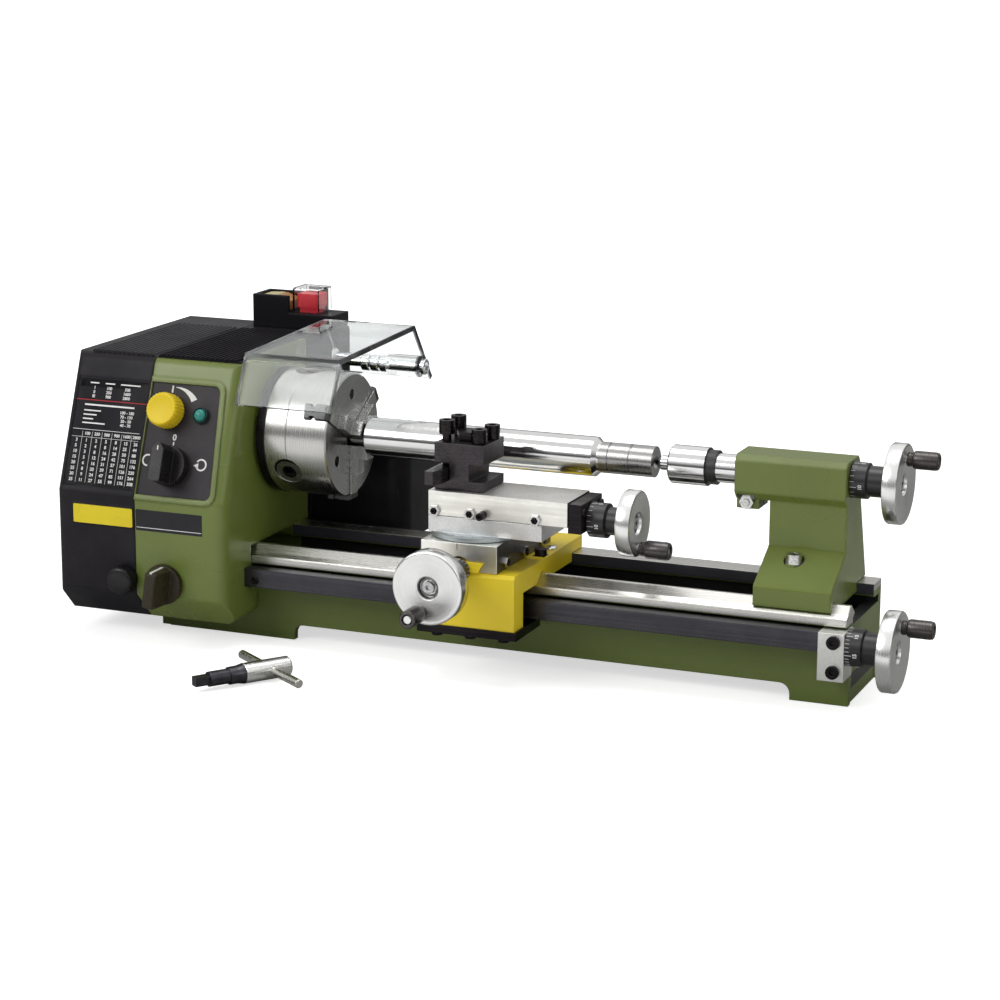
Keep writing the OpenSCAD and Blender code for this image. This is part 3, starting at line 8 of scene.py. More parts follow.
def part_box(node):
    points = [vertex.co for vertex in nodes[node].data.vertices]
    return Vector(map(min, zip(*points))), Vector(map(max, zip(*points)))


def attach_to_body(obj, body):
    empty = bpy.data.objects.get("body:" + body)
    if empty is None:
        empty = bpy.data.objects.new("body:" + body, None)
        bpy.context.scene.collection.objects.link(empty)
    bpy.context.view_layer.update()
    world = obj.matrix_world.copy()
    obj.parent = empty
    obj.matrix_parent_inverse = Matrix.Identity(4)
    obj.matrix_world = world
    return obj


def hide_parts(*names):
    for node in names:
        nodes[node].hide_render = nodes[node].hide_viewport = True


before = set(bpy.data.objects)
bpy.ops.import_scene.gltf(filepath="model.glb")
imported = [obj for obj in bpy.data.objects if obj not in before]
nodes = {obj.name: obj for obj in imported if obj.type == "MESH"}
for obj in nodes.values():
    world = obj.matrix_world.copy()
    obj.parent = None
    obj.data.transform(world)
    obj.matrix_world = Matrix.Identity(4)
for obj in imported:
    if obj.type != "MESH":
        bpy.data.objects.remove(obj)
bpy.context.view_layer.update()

# Viewpoint
# A long lens a little above the bench, right of the machine's middle, as the photograph was taken.
# The horizon leans by a quarter of a degree.
view_turn = math.radians(22.24)
view_tilt = math.radians(13.18)
view_roll = math.radians(0.243)
ahead = Vector((-math.sin(view_turn) * math.cos(view_tilt), math.cos(view_turn) * math.cos(view_tilt),
                -math.sin(view_tilt)))
level = Vector((math.cos(view_turn), math.sin(view_turn), 0))
over = level.cross(ahead)
side = level * math.cos(view_roll) + over * math.sin(view_roll)
top = over * math.cos(view_roll) - level * math.sin(view_roll)
lens = bpy.data.cameras.new("lens")
lens.lens = 98.71
lens.sensor_width = 36
lens.clip_start = 0.05
lens.clip_end = 30
camera = bpy.data.objects.new("camera", lens)
camera.matrix_world = Matrix((side, top, -ahead)).transposed().to_4x4()
camera.location = (0.8052, -1.4661, 0.4619)
bpy.context.scene.collection.objects.link(camera)
bpy.context.scene.camera = camera
bpy.context.scene.view_settings.view_transform = "Standard"

# Floor and studio
# A wide sheet of white paper under soft light from a big window-like panel at the left front, a weaker one
# from the right and one from above. The paper keeps the soft shadow of the machine. Bright metal mirrors a
# painted reflection of the paper: for glossy rays it loses its glow near the machine and turns dark grey further in
# front.


def feed(tree, sockets, values):
    """Gives each socket its plain value or its link to another node."""
    for key, value in values.items():
        if isinstance(value, bpy.types.NodeSocket):
            tree.links.new(value, sockets[key])
        else:
            sockets[key].default_value = value


def put(tree, kind, inputs=None, **settings):
    """Adds a node. Its inputs take plain values or the sockets of other nodes."""
    node = tree.nodes.new(kind if "Node" in kind else "ShaderNode" + kind)
    for key, value in settings.items():
        setattr(node, key, value)
    feed(tree, node.inputs, inputs or {})
    return node


def calc(tree, operation, a, b=0.0):
    """Result of one sum on two values."""
    return put(tree, "Math", {0: a, 1: b}, operation=operation).outputs[0]


def vector(tree, operation, a, b, output=0):
    """Result of one step on two vectors. Output 1 gives the number, such as a length."""
    return put(tree, "VectorMath", {0: a, 1: b}, operation=operation).outputs[output]


def ramp(tree, value, low, high, start=0.0, end=1.0):
    """Maps low..high smoothly to start..end."""
    return put(tree, "MapRange", {"Value": value, "From Min": low, "From Max": high, "To Min": start, "To Max": end},
               interpolation_type="SMOOTHSTEP").outputs[0]


def between(tree, share, a, b):
    """Value between two others."""
    return put(tree, "Mix", {0: share, 2: a, 3: b}).outputs[0]


def blend_colour(tree, share, a, b):
    """Mix of two colours."""
    return put(tree, "Mix", {0: share, 6: a, 7: b}, data_type="RGBA").outputs[2]


def here(tree):
    """Point of the surface in the machine's own measures."""
    return put(tree, "TexCoord").outputs["Object"]


def split(tree, value):
    """The three parts of a vector."""
    return put(tree, "SeparateXYZ", {0: value}).outputs


def new_material(name, tint):
    """Starts a material with one Principled shader and gives its tree and that shader."""
    material = bpy.data.materials.new(name)
    material.use_nodes = True
    material.diffuse_color = (*tint, 1)
    tree = material.node_tree
    return material, tree, tree.nodes["Principled BSDF"]


def panel_lamp(name, place, aim, width, height, power):
    """A soft rectangular lamp that faces a point."""
    data = bpy.data.lights.new(name, "AREA")
    data.shape = "RECTANGLE"
    data.size = width
    data.size_y = height
    data.energy = power
    lamp = bpy.data.objects.new(name, data)
    lamp.location = place
    lamp.rotation_euler = (Vector(aim) - Vector(place)).to_track_quat("-Z", "Y").to_euler()
    bpy.context.scene.collection.objects.link(lamp)


floor_reach = 9
floor_level = -0.0003
floor_mesh = bpy.data.meshes.new("paper")
floor_mesh.from_pydata([(x * floor_reach, y * floor_reach, floor_level)
                        for x, y in ((-1, -1), (1, -1), (1, 1), (-1, 1))], [], [(0, 1, 2, 3)])
floor = bpy.data.objects.new("paper", floor_mesh)
bpy.context.scene.collection.objects.link(floor)
paper, tree, shader = new_material("paper", (0.9, 0.9, 0.9))
grain = put(tree, "TexNoise", {"Scale": 320.0, "Detail": 3.0}).outputs[0]
rays = put(tree, "LightPath").outputs
sheet = blend_colour(tree, grain, (0.86, 0.86, 0.86, 1), (0.9, 0.9, 0.9, 1))
spot = here(tree)
front = ramp(tree, split(tree, spot)[1], -0.25, -0.12, 1.0, 0.0)
# Painted reflection: the paper's colour for glossy rays only, dark grey further in front of the machine.
shade = blend_colour(tree, front, (0.36, 0.36, 0.35, 1), sheet)
seen = calc(tree, "MAXIMUM", rays["Is Camera Ray"], rays["Is Transmission Ray"])
seen = calc(tree, "MAXIMUM", seen, calc(tree, "MULTIPLY", rays["Is Glossy Ray"], calc(tree, "MULTIPLY", front, 0.4)))
white = ramp(tree, vector(tree, "DISTANCE", spot, (0.2, 0.0, 0.0), 1), 0.45, 1.3, 0.62, 1.0)
feed(tree, shader.inputs, {
    "Base Color": blend_colour(tree, rays["Is Glossy Ray"], sheet, shade), "Roughness": 0.9,
    "Specular IOR Level": 0.1, "Emission Color": (1, 1, 1, 1),
    "Emission Strength": calc(tree, "MULTIPLY", seen, white)})
floor.data.materials.append(paper)

world = bpy.data.worlds.new("studio")
bpy.context.scene.world = world
world.use_nodes = True
tree = world.node_tree
rays = put(tree, "LightPath").outputs
room = ramp(tree, split(tree, put(tree, "TexCoord").outputs["Generated"])[2], 0.05, 0.5, 0.1, 1.0)
plain = calc(tree, "MAXIMUM", rays["Is Camera Ray"], rays["Is Transmission Ray"])
seen = calc(tree, "MAXIMUM", plain, rays["Is Glossy Ray"])
feed(tree, tree.nodes["Background"].inputs, {
    "Color": (1, 1, 1, 1), "Strength": between(tree, seen, 0.36, between(tree, plain, room, 1.0))})

panel_lamp("window", (-1.0, -1.5, 1.3), (0.2, 0, 0.08), 1.3, 1.0, 20)
panel_lamp("ceiling", (0.2, 0.1, 1.7), (0.2, 0, 0.05), 1.2, 0.8, 12)
panel_lamp("fill", (1.7, -0.9, 0.8), (0.2, 0, 0.08), 0.8, 0.8, 3)

# Shader group: softened edges
# Real edges are broken by a file or by the mould. The group turns the surface at every edge and
# marks the edges in patches that noise breaks up, where the materials paint a paler tone: a painted highlight.


def new_group(name, inputs, outputs, kind="ShaderNodeTree"):
    """Starts a node group and gives its tree, the sockets that come in and those that go out."""
    tree = bpy.data.node_groups.new(name, kind)
    for label, socket_kind, value in inputs:
        socket = tree.interface.new_socket(label, in_out="INPUT", socket_type="NodeSocket" + socket_kind)
        if value is not None:
            socket.default_value = value
    for label, socket_kind in outputs:
        tree.interface.new_socket(label, in_out="OUTPUT", socket_type="NodeSocket" + socket_kind)
    return tree, put(tree, "NodeGroupInput").outputs, put(tree, "NodeGroupOutput").inputs


def noise(tree, place, scale, detail, **more):
    """Soft random pattern of values round a half."""
    return put(tree, "TexNoise", {"Vector": place, "Scale": scale, "Detail": detail, **more}).outputs[0]


soften, given, result = new_group("softened_edges", [
    ("Radius", "Float", 0.0006), ("Wear Scale", "Float", 300.0), ("Highlight Wear", "Float", 0.5)],
    [("Normal", "Vector"), ("Edge", "Float")])
turned = put(soften, "Bevel", {"Radius": given["Radius"]}, samples=4).outputs[0]
agree = vector(soften, "DOT_PRODUCT", turned, put(soften, "NewGeometry").outputs["Normal"], 1)
crumbs = noise(soften, here(soften), given["Wear Scale"], 4.0, Roughness=0.65)
broken = calc(soften, "MULTIPLY", calc(soften, "SUBTRACT", 1.0, agree), calc(soften, "MULTIPLY", crumbs, given["Highlight Wear"]))
feed(soften, result, {"Normal": turned, "Edge": ramp(soften, broken, 0.015, 0.11)})

# Shader group: sprayed paint
# Stoved enamel on a casting: slow changes of tone, the fine waviness of a sprayed coat and dust nibs.
# The material paints its edges in a paler tone of the paint: a painted highlight.


def emboss(tree, height, depth, normal):
    """Normal of a relief of some depth, on the normal that came in."""
    return put(tree, "Bump", {"Height": height, "Distance": depth, "Strength": 1.0, "Normal": normal}).outputs[0]


def lifted(colour, gain, lift=0.0):
    """Paler tone of a colour, painted on its edges as a highlight."""
    return tuple(min(1.0, c * gain + lift) for c in colour[:3]) + (1,)


def coat(colour, shade, gloss=0.3, dull=0.42, peel=0.00004, gleam=0.4):
    """Enamel of one colour."""
    return {"group": enamel, "metal": 0.0, "edge_highlight": 0.3, "gleam": gleam, "rim": lifted(colour, 2.2, 0.05),
            "values": {"Colour": colour, "Shade": shade, "Gloss": gloss, "Dull": dull, "Peel Depth": peel}}


enamel, given, result = new_group("sprayed_paint", [
    ("Colour", "Color", (0.12, 0.16, 0.05, 1)), ("Shade", "Color", (0.1, 0.13, 0.04, 1)),
    ("Patch Scale", "Float", 18.0), ("Peel Scale", "Float", 700.0), ("Peel Depth", "Float", 0.00004),
    ("Gloss", "Float", 0.3), ("Dull", "Float", 0.42), ("Normal", "Vector", None)],
    [("Colour", "Color"), ("Roughness", "Float"), ("Normal", "Vector")])
place = here(enamel)
patch = noise(enamel, place, given["Patch Scale"], 3.0)
nibs = put(enamel, "TexVoronoi", {"Vector": place, "Scale": calc(enamel, "MULTIPLY", given["Peel Scale"], 0.35)})
speck = ramp(enamel, nibs.outputs["Distance"], 0.05, 0.12, 1.0, 0.0)
tone = blend_colour(enamel, ramp(enamel, patch, 0.3, 0.7), given["Colour"], given["Shade"])
peel = noise(enamel, place, given["Peel Scale"], 1.5)
relief = calc(enamel, "ADD", peel, calc(enamel, "MULTIPLY", speck, 0.35))
feed(enamel, result, {
    "Colour": blend_colour(enamel, calc(enamel, "MULTIPLY", speck, 0.25), tone, given["Shade"]),
    "Roughness": between(enamel, ramp(enamel, patch, 0.25, 0.75), given["Gloss"], given["Dull"]),
    "Normal": emboss(enamel, relief, given["Peel Depth"], given["Normal"])})

# Shader group: ground metal
# The fine straight scratches that a surface grinder or a file leaves, long along one direction,
# with cloudier patches where oil has dried.


def cut(colour, streak, smooth=0.2, rough=0.36, stretch=(30.0, 1400.0, 1400.0), depth=0.00001):
    """Ground or milled metal, scratched along one direction."""
    return {"group": ground, "metal": 1.0, "edge_highlight": 0.6, "gleam": 0.5, "rim": lifted(colour, 1.35),
            "values": {"Colour": colour, "Streak": streak, "Smooth": smooth, "Rough": rough, "Stretch": stretch,
                       "Depth": depth}}


ground, given, result = new_group("ground_metal", [
    ("Colour", "Color", (0.6, 0.6, 0.58, 1)), ("Streak", "Color", (0.45, 0.45, 0.43, 1)),
    ("Stretch", "Vector", (40.0, 1500.0, 1500.0)), ("Depth", "Float", 0.00001),
    ("Smooth", "Float", 0.2), ("Rough", "Float", 0.38), ("Normal", "Vector", None)],
    [("Colour", "Color"), ("Roughness", "Float"), ("Normal", "Vector")])
place = here(ground)
lines = noise(ground, vector(ground, "MULTIPLY", place, given["Stretch"]), 1.0, 3.0, Roughness=0.6)
cloud = noise(ground, place, 45.0, 4.0, Distortion=0.4)
share = ramp(ground, calc(ground, "ADD", calc(ground, "MULTIPLY", lines, 0.6), calc(ground, "MULTIPLY", cloud, 0.4)),
             0.36, 0.64)
feed(ground, result, {
    "Colour": blend_colour(ground, share, given["Colour"], given["Streak"]),
    "Roughness": between(ground, share, given["Smooth"], given["Rough"]),
    "Normal": emboss(ground, lines, given["Depth"], given["Normal"])})

# Shader group: turned metal
# Marks of the turning tool: rings round an axis, on the faces and along the length.
# Across keeps the two directions that lie square to the axis.


def spun(colour, line, centre, across=(0, 1, 1), smooth=0.14, rough=0.28, marks=3000.0, depth=0.00001):
    """Turned metal, with tool marks round an axis."""
    return {"group": rings, "metal": 1.0, "edge_highlight": 0.5, "gleam": 0.5, "rim": lifted(colour, 1.3),
            "values": {"Colour": colour, "Line": line, "Centre": centre, "Across": across, "Smooth": smooth,
                       "Rough": rough, "Marks": marks, "Depth": depth}}


def square_arm(tree, given):
    """Arm from the axis to the surface, whole and without its part along the axis."""
    arm = vector(tree, "SUBTRACT", here(tree), given["Centre"])
    return arm, vector(tree, "MULTIPLY", arm, given["Across"])


rings, given, result = new_group("turned_metal", [
    ("Colour", "Color", (0.6, 0.6, 0.6, 1)), ("Line", "Color", (0.5, 0.5, 0.5, 1)),
    ("Centre", "Vector", (0.0, 0.0, 0.1226)), ("Across", "Vector", (0.0, 1.0, 1.0)), ("Marks", "Float", 3000.0),
    ("Depth", "Float", 0.00001), ("Smooth", "Float", 0.16), ("Rough", "Float", 0.3), ("Normal", "Vector", None)],
    [("Colour", "Color"), ("Roughness", "Float"), ("Normal", "Vector")])
arm, flat_arm = square_arm(rings, given)
radius = vector(rings, "LENGTH", flat_arm, (0, 0, 0), 1)
along = vector(rings, "DOT_PRODUCT", vector(rings, "SUBTRACT", arm, flat_arm), (1.0, 1.0, 1.0), 1)
mark = put(rings, "TexNoise", {"W": calc(rings, "MULTIPLY", calc(rings, "ADD", radius, along), given["Marks"]),
                               "Scale": 1.0, "Detail": 3.0, "Roughness": 0.7}, noise_dimensions="1D").outputs[0]
cloud = noise(rings, here(rings), 60.0, 3.0)
share = ramp(rings, calc(rings, "ADD", calc(rings, "MULTIPLY", mark, 0.75), calc(rings, "MULTIPLY", cloud, 0.25)),
             0.36, 0.64)
feed(rings, result, {
    "Colour": blend_colour(rings, share, given["Colour"], given["Line"]),
    "Roughness": between(rings, share, given["Smooth"], given["Rough"]),
    "Normal": emboss(rings, mark, given["Depth"], given["Normal"])})

# Shader group: moulded plastic
# The fine leather-like grain of a spark-eroded mould, with rubbed patches that shine a little more.
# The material paints its edges paler: a painted highlight, broken up like wear.


def cast(colour, rubbed, gloss=0.36, dull=0.52, grain=0.00006, pitch=1500.0, gleam=0.22):
    """Moulded plastic. Grain is its depth and pitch how fine it is."""
    return {"group": moulded, "metal": 0.0, "edge_highlight": 0.4, "gleam": gleam, "rim": lifted(rubbed, 2.2, 0.01),
            "values": {"Colour": colour, "Rubbed": rubbed, "Gloss": gloss, "Dull": dull, "Grain Depth": grain,
                       "Grain Scale": pitch}}


moulded, given, result = new_group("moulded_plastic", [
    ("Colour", "Color", (0.02, 0.02, 0.022, 1)), ("Rubbed", "Color", (0.035, 0.034, 0.036, 1)),
    ("Grain Scale", "Float", 1500.0), ("Grain Depth", "Float", 0.00006), ("Gloss", "Float", 0.36),
    ("Dull", "Float", 0.52), ("Normal", "Vector", None)],
    [("Colour", "Color"), ("Roughness", "Float"), ("Normal", "Vector")])
place = here(moulded)
pits = put(moulded, "TexVoronoi", {"Vector": place, "Scale": given["Grain Scale"]}, feature="SMOOTH_F1")
fine = noise(moulded, place, given["Grain Scale"], 2.0)
share = ramp(moulded, noise(moulded, place, 26.0, 5.0, Roughness=0.6), 0.35, 0.7)
relief = calc(moulded, "ADD", pits.outputs["Distance"], calc(moulded, "MULTIPLY", fine, 0.5))
feed(moulded, result, {
    "Colour": blend_colour(moulded, share, given["Colour"], given["Rubbed"]),
    "Roughness": between(moulded, share, given["Dull"], given["Gloss"]),
    "Normal": emboss(moulded, relief, given["Grain Depth"], given["Normal"])})

# Shader groups: zones
# The first gives 1 inside a box that lies straight in the machine, for machined strips on a painted casting.
# The other gives 1 between two distances from an axis, for a ring, a plug or a knob of another finish.
zone, given, result = new_group("zone", [("Lowest", "Vector", (0, 0, 0)), ("Highest", "Vector", (1, 1, 1))],
                                [("Inside", "Float")])
place = here(zone)
inside = 1.0
for a, b in ((place, given["Lowest"]), (given["Highest"], place)):
    for part in split(zone, vector(zone, "SUBTRACT", a, b)):
        inside = calc(zone, "MULTIPLY", inside, calc(zone, "GREATER_THAN", part, 0.0))
feed(zone, result, {"Inside": inside})

round_zone, given, result = new_group("round_zone", [
    ("Centre", "Vector", (0.0, 0.0, 0.0)), ("Across", "Vector", (0.0, 1.0, 1.0)), ("Inner", "Float", 0.0),
    ("Outer", "Float", 0.01)], [("Inside", "Float")])
reach = vector(round_zone, "LENGTH", square_arm(round_zone, given)[1], (0, 0, 0), 1)
inside = calc(round_zone, "MULTIPLY", calc(round_zone, "GREATER_THAN", reach, given["Inner"]),
              calc(round_zone, "LESS_THAN", reach, given["Outer"]))
feed(round_zone, result, {"Inside": inside})

# Bed
# Grey iron casting, stoved olive green. The prismatic front way and the flat rear way are ground bright
# after painting, so their top and sloping faces are bare metal.


def cover(tree, places):
    """Share that is 1 inside any of the boxes (low, high) or rings (centre, across, inner, outer)."""
    share = 0.0
    for spot in places:
        if len(spot) == 2:
            inside = put(tree, "Group", dict(zip(("Lowest", "Highest"), spot)), node_tree=zone)
        else:
            inside = put(tree, "Group", dict(zip(("Centre", "Across", "Inner", "Outer"), spot)), node_tree=round_zone)
        share = calc(tree, "MAXIMUM", share, inside.outputs["Inside"])
    return share


def dress(name, base, *patches, edge=0.0005, wear_and_highlight=0.6):
    """Makes a material of one finish, and of patches: pairs of a finish and the places that it covers."""
    material, tree, shader = new_material(name, base["values"]["Colour"][:3])
    soft = put(tree, "Group", {"Radius": edge, "Highlight Wear": wear_and_highlight}, node_tree=soften).outputs
    colour = rough = bend = None
    metal = base["metal"]
    for layer, places in ((base, None),) + patches:
        skin = put(tree, "Group", {**layer["values"], "Normal": soft["Normal"]}, node_tree=layer["group"]).outputs
        # Along the edges each finish takes its rim tone, a paler copy of its colour: a painted highlight.
        tone = blend_colour(tree, calc(tree, "MULTIPLY", soft["Edge"], layer["edge_highlight"]), skin["Colour"], layer["rim"])
        if places is None:
            colour, rough, bend = tone, skin["Roughness"], skin["Normal"]
            continue
        share = cover(tree, places)
        colour = blend_colour(tree, share, colour, tone)
        rough = between(tree, share, rough, skin["Roughness"])
        if isinstance(metal, bpy.types.NodeSocket) or metal != layer["metal"]:
            metal = between(tree, share, metal, layer["metal"])
        bend = put(tree, "Mix", {0: share, 4: bend, 5: skin["Normal"]}, data_type="VECTOR").outputs[1]
    feed(tree, shader.inputs, {"Base Color": colour, "Roughness": rough, "Normal": bend, "Metallic": metal,
                               "Specular IOR Level": base["gleam"]})
    return material


def wear(material, *names):
    """Gives a material to whole pieces of the machine."""
    for name in names:
        data = nodes[name].data
        data.materials.clear()
        data.materials.append(material)


# The bed's green is a darker copy of the enamel on the headstock and tailstock: painted shade.
olive_painted_shade = (0.118, 0.156, 0.034, 1)
olive_patch_painted_shade = (0.104, 0.138, 0.030, 1)
way_iron = cut((0.62, 0.61, 0.58, 1), (0.55, 0.54, 0.51, 1), smooth=0.24, rough=0.32, stretch=(6.0, 2400.0, 2400.0),
               depth=0.000004)
# The channel between the ways and the wall under the rear way are painted near-black: painted shade.
channel_painted_shade = coat((0.020, 0.019, 0.022, 1), (0.014, 0.013, 0.015, 1), 0.4, 0.5)
wear(dress("bed_enamel", coat(olive_painted_shade, olive_patch_painted_shade, 0.34, 0.46),
           (way_iron, [((-0.001, -0.0420, 0.0480), (0.4302, -0.0242, 0.0600)),
                       ((-0.001, 0.0170, 0.0545), (0.4302, 0.0340, 0.0600))]),
           (channel_painted_shade, [((0.060, -0.0240, 0.0080), (0.4298, 0.0170, 0.0583)),
                           ((0.060, 0.0160, 0.0080), (0.4298, 0.0331, 0.0507))]),
           (coat((0.052, 0.051, 0.066, 1), (0.040, 0.039, 0.052, 1), 0.3, 0.4),
            [((0.060, 0.0165, 0.0507), (0.4298, 0.01715, 0.0583))]), edge=0.0012), "bed")

# Headstock
# Casting with a leaning front, in the same green enamel, which is painted darker on the bed as shade. It stands on the
# bed and carries the spindle.
# The front bearing seat is bored bright.
olive_front = (0.142, 0.184, 0.038, 1)
olive_deep = (0.128, 0.166, 0.034, 1)
wear(dress("headstock_enamel", coat(olive_front, olive_deep, 0.22, 0.3),
           (way_iron, [((0.030, -0.0240, 0.0990), (0.0700, 0.0240, 0.1465))]), edge=0.0028), "headstock")

# End cover
# Black plastic shell over the drive, moulded with fine ribs on top and held by a knurled thumbscrew.
# It pulls off to the left, away from the gears and the belt.
wear(dress("cover_plastic", cast((0.0125, 0.011, 0.014, 1), (0.018, 0.016, 0.019, 1), 0.34, 0.46, gleam=0.12),
           edge=0.0024), "end_cover")

# Lid, rear housing and switch box
# All three are moulded in black plastic. The ribbed lid lets the motor's warm air out.
# The housing behind it and the switch box on it are smooth and a little glossier.
wear(dress("lid_plastic", cast((0.010, 0.009, 0.011, 1), (0.014, 0.013, 0.015, 1), 0.5, 0.6, gleam=0.03),
           edge=0.0003), "top_cover")
wear(dress("housing_plastic", cast((0.009, 0.008, 0.010, 1), (0.013, 0.012, 0.014, 1), 0.3, 0.4, gleam=0.08),
           edge=0.0018), "rear_cover", "switch_box")

# Rocker in the switch box
# A two-tone rocker of cream and amber plastic lies in the raised part of the switch box,
# with its pivot rib between the halves.


def lofted(rings, place=Matrix()):
    """Closed shape through outlines with one count of points, each at its own height."""
    shape = bmesh.new()
    rows = [[shape.verts.new((x, y, z)) for x, y in outline] for outline, z in rings]
    for a, b in zip(rows, rows[1:]):
        for i in range(len(a)):
            k = (i + 1) % len(a)
            shape.faces.new((a[i], a[k], b[k], b[i]))
    shape.faces.new(reversed(rows[0]))
    shape.faces.new(rows[-1])
    shape.transform(place)
    return shape


def prism(outline, low, high, place=Matrix()):
    """Closed slab over a flat outline, from one height to another."""
    return lofted([(outline, low), (outline, high)], place)


def axes(right, up, out, origin=(0, 0, 0)):
    """Place whose own X, Y and Z point along three directions."""
    return Matrix.Translation(origin) @ Matrix((right, up, out)).transposed().to_4x4()


def joined(shapes, sharp=32):
    """One mesh in metres from several shapes in millimetres, smooth up to a sharp angle in degrees."""
    mesh = bpy.data.meshes.new("joined")
    whole = bmesh.new()
    for shape in shapes:
        shape.to_mesh(mesh)
        whole.from_mesh(mesh)
        shape.free()
    whole.transform(Matrix.Scale(mm, 4))
    bmesh.ops.recalc_face_normals(whole, faces=whole.faces)
    whole.to_mesh(mesh)
    whole.free()
    for face in mesh.polygons:
        face.use_smooth = True
    mesh.set_sharp_from_angle(angle=math.radians(sharp))
    return mesh


def attach(name, body, material, mesh, instead=None):
    """Puts a finished mesh in the scene. It rides on its body, and may take the place of a plain piece."""
    mesh.name = name
    if material:
        mesh.materials.clear()
        mesh.materials.append(material)
    thing = bpy.data.objects.new(name, mesh)
    bpy.context.scene.collection.objects.link(thing)
    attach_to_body(thing, body)
    if instead:
        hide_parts(instead)


mm = 0.001
cream = dress("rocker_cream", cast((0.50, 0.44, 0.22, 1), (0.56, 0.50, 0.28, 1), 0.28, 0.4), edge=0.0006)
amber = dress("rocker_amber", cast((0.36, 0.15, 0.03, 1), (0.42, 0.19, 0.05, 1), 0.24, 0.36), edge=0.0006)
facing_front = axes((1, 0, 0), (0, 0, 1), (0, -1, 0))
for name, material, outline in (
        ("rocker_left", cream, [(7.2, 186.2), (17.4, 183.6), (17.4, 189.6), (16.6, 190.2), (7.2, 189.8)]),
        ("rocker_right", amber, [(17.7, 183.6), (27.8, 181.6), (27.8, 187.0), (18.6, 190.2), (17.7, 189.6)])):
    attach(name, "base", material, joined([prism(outline, -96.2, -79.4, facing_front)]))

# Control panel
# Black fine-grained plate let into the leaning front, with its marks printed in white:
# a growing wedge for the speed, an arc for each way of turning and a few ticks.


def band(centre, radii, angles, count=24):
    """Outline of a curved band whose inner and outer radius change from one end to the other."""
    outline = []
    for row, steps in ((0, range(count + 1)), (1, reversed(range(count + 1)))):
        for i in steps:
            share = i / count
            angle = math.radians(angles[0] + (angles[1] - angles[0]) * share)
            reach = radii[row][0] + (radii[row][1] - radii[row][0]) * share
            outline.append((centre[0] + reach * math.cos(angle), centre[1] + reach * math.sin(angle)))
    return outline


def block(x0, y0, x1, y1):
    """Outline of a rectangle."""
    return [(x0, y0), (x1, y0), (x1, y1), (x0, y1)]


def at(x, y, z):
    """Place shifted in millimetres."""
    return Matrix.Translation((x, y, z))


def lettering(text, size, low, high, place, bend=0.0):
    """Figures as thin raised print. With bend they follow a drum of that radius round the local Y axis."""
    curve = bpy.data.curves.new("figures", "FONT")
    curve.body = text
    curve.size = size
    curve.align_x = "CENTER"
    curve.align_y = "CENTER"
    curve.extrude = (high - low) / 2
    curve.resolution_u = 3
    curve.offset = size * 0.028
    letters = bpy.data.objects.new("figures", curve)
    mesh = bpy.data.meshes.new_from_object(letters)
    shape = bmesh.new()
    shape.from_mesh(mesh)
    bpy.data.objects.remove(letters)
    bpy.data.meshes.remove(mesh)
    bpy.data.curves.remove(curve)
    bmesh.ops.remove_doubles(shape, verts=shape.verts, dist=1e-5)
    for vert in shape.verts:
        x, y, z = vert.co
        z += (low + high) / 2
        if bend:
            angle = x / bend
            vert.co = ((bend + z) * math.sin(angle), y, (bend + z) * math.cos(angle))
        else:
            vert.co = (x, y, z)
    shape.transform(place)
    return shape


wear(dress("panel_plastic", cast((0.020, 0.016, 0.019, 1), (0.025, 0.021, 0.024, 1), 0.4, 0.5,
                                 grain=0.00004, pitch=2200.0), edge=0.0003), "control_panel")
print_white = dress("print_white", cast((0.78, 0.78, 0.77, 1), (0.7, 0.7, 0.69, 1), 0.4, 0.5,
                                        grain=0.00001), edge=0.0001, wear_and_highlight=0.1)
print_red = dress("print_red", cast((0.42, 0.02, 0.03, 1), (0.36, 0.02, 0.03, 1), 0.4, 0.5,
                                    grain=0.00001), edge=0.0001, wear_and_highlight=0.1)

ridge = Vector((0, -76, 90.5))
brow = Vector((0, -46, 170))
slope = (brow - ridge).normalized()
right = Vector((1, 0, 0))
leaning = axes(right, slope, right.cross(slope), ridge)
panel_level = -0.2
print_level = panel_level + 0.08
speed_mark = (16.0, 52.6)
left_turn, right_turn = (6.4, 22.6), (42.4, 22.6)
attach("panel_marks", "base", print_white, joined([prism(line, panel_level, print_level, leaning) for line in (
    block(15.6, 64.2, 16.6, 68.6),
    band(speed_mark, ((19.4, 15.4), (15.4, 15.1)), (27, 82)),
    block(21.6, 32.8, 22.5, 34.8),
    band(left_turn, ((3.7, 3.7), (2.7, 2.7)), (70, 275)),
    band(right_turn, ((3.7, 3.7), (2.7, 2.7)), (-150, 150), 36),
    [(right_turn[0] - 5.0, 22.0), (right_turn[0] - 1.7, 20.1), (right_turn[0] - 1.9, 23.6)])]
    + [lettering("0", 5.2, panel_level, print_level, leaning @ at(22.2, 37.4, 0))]))

# Data plate
# The tall plate in the recess of the end cover: three speed steps, a red line, four ranges of cutting speed
# and a table with one column for each spindle speed and one row for each work diameter in millimetres.
# The values come from the plain rule speed = pi x diameter x turns.


def soft_block(x0, y0, x1, y1, radius, count=6):
    """Outline of a rectangle with rounded corners."""
    outline = []
    left, foot, right, head = x0 + radius, y0 + radius, x1 - radius, y1 - radius
    for cx, cy, start in ((right, head, 0), (left, head, 90), (left, foot, 180), (right, foot, 270)):
        for i in range(count + 1):
            angle = math.radians(start + 90 * i / count)
            outline.append((cx + radius * math.cos(angle), cy + radius * math.sin(angle)))
    return outline


def figure(text, size, x, s):
    """Sets one entry of the data plate."""
    figures.append(lettering(text, size, plate_level, plate_ink, leaning @ at(x, s, 0)))


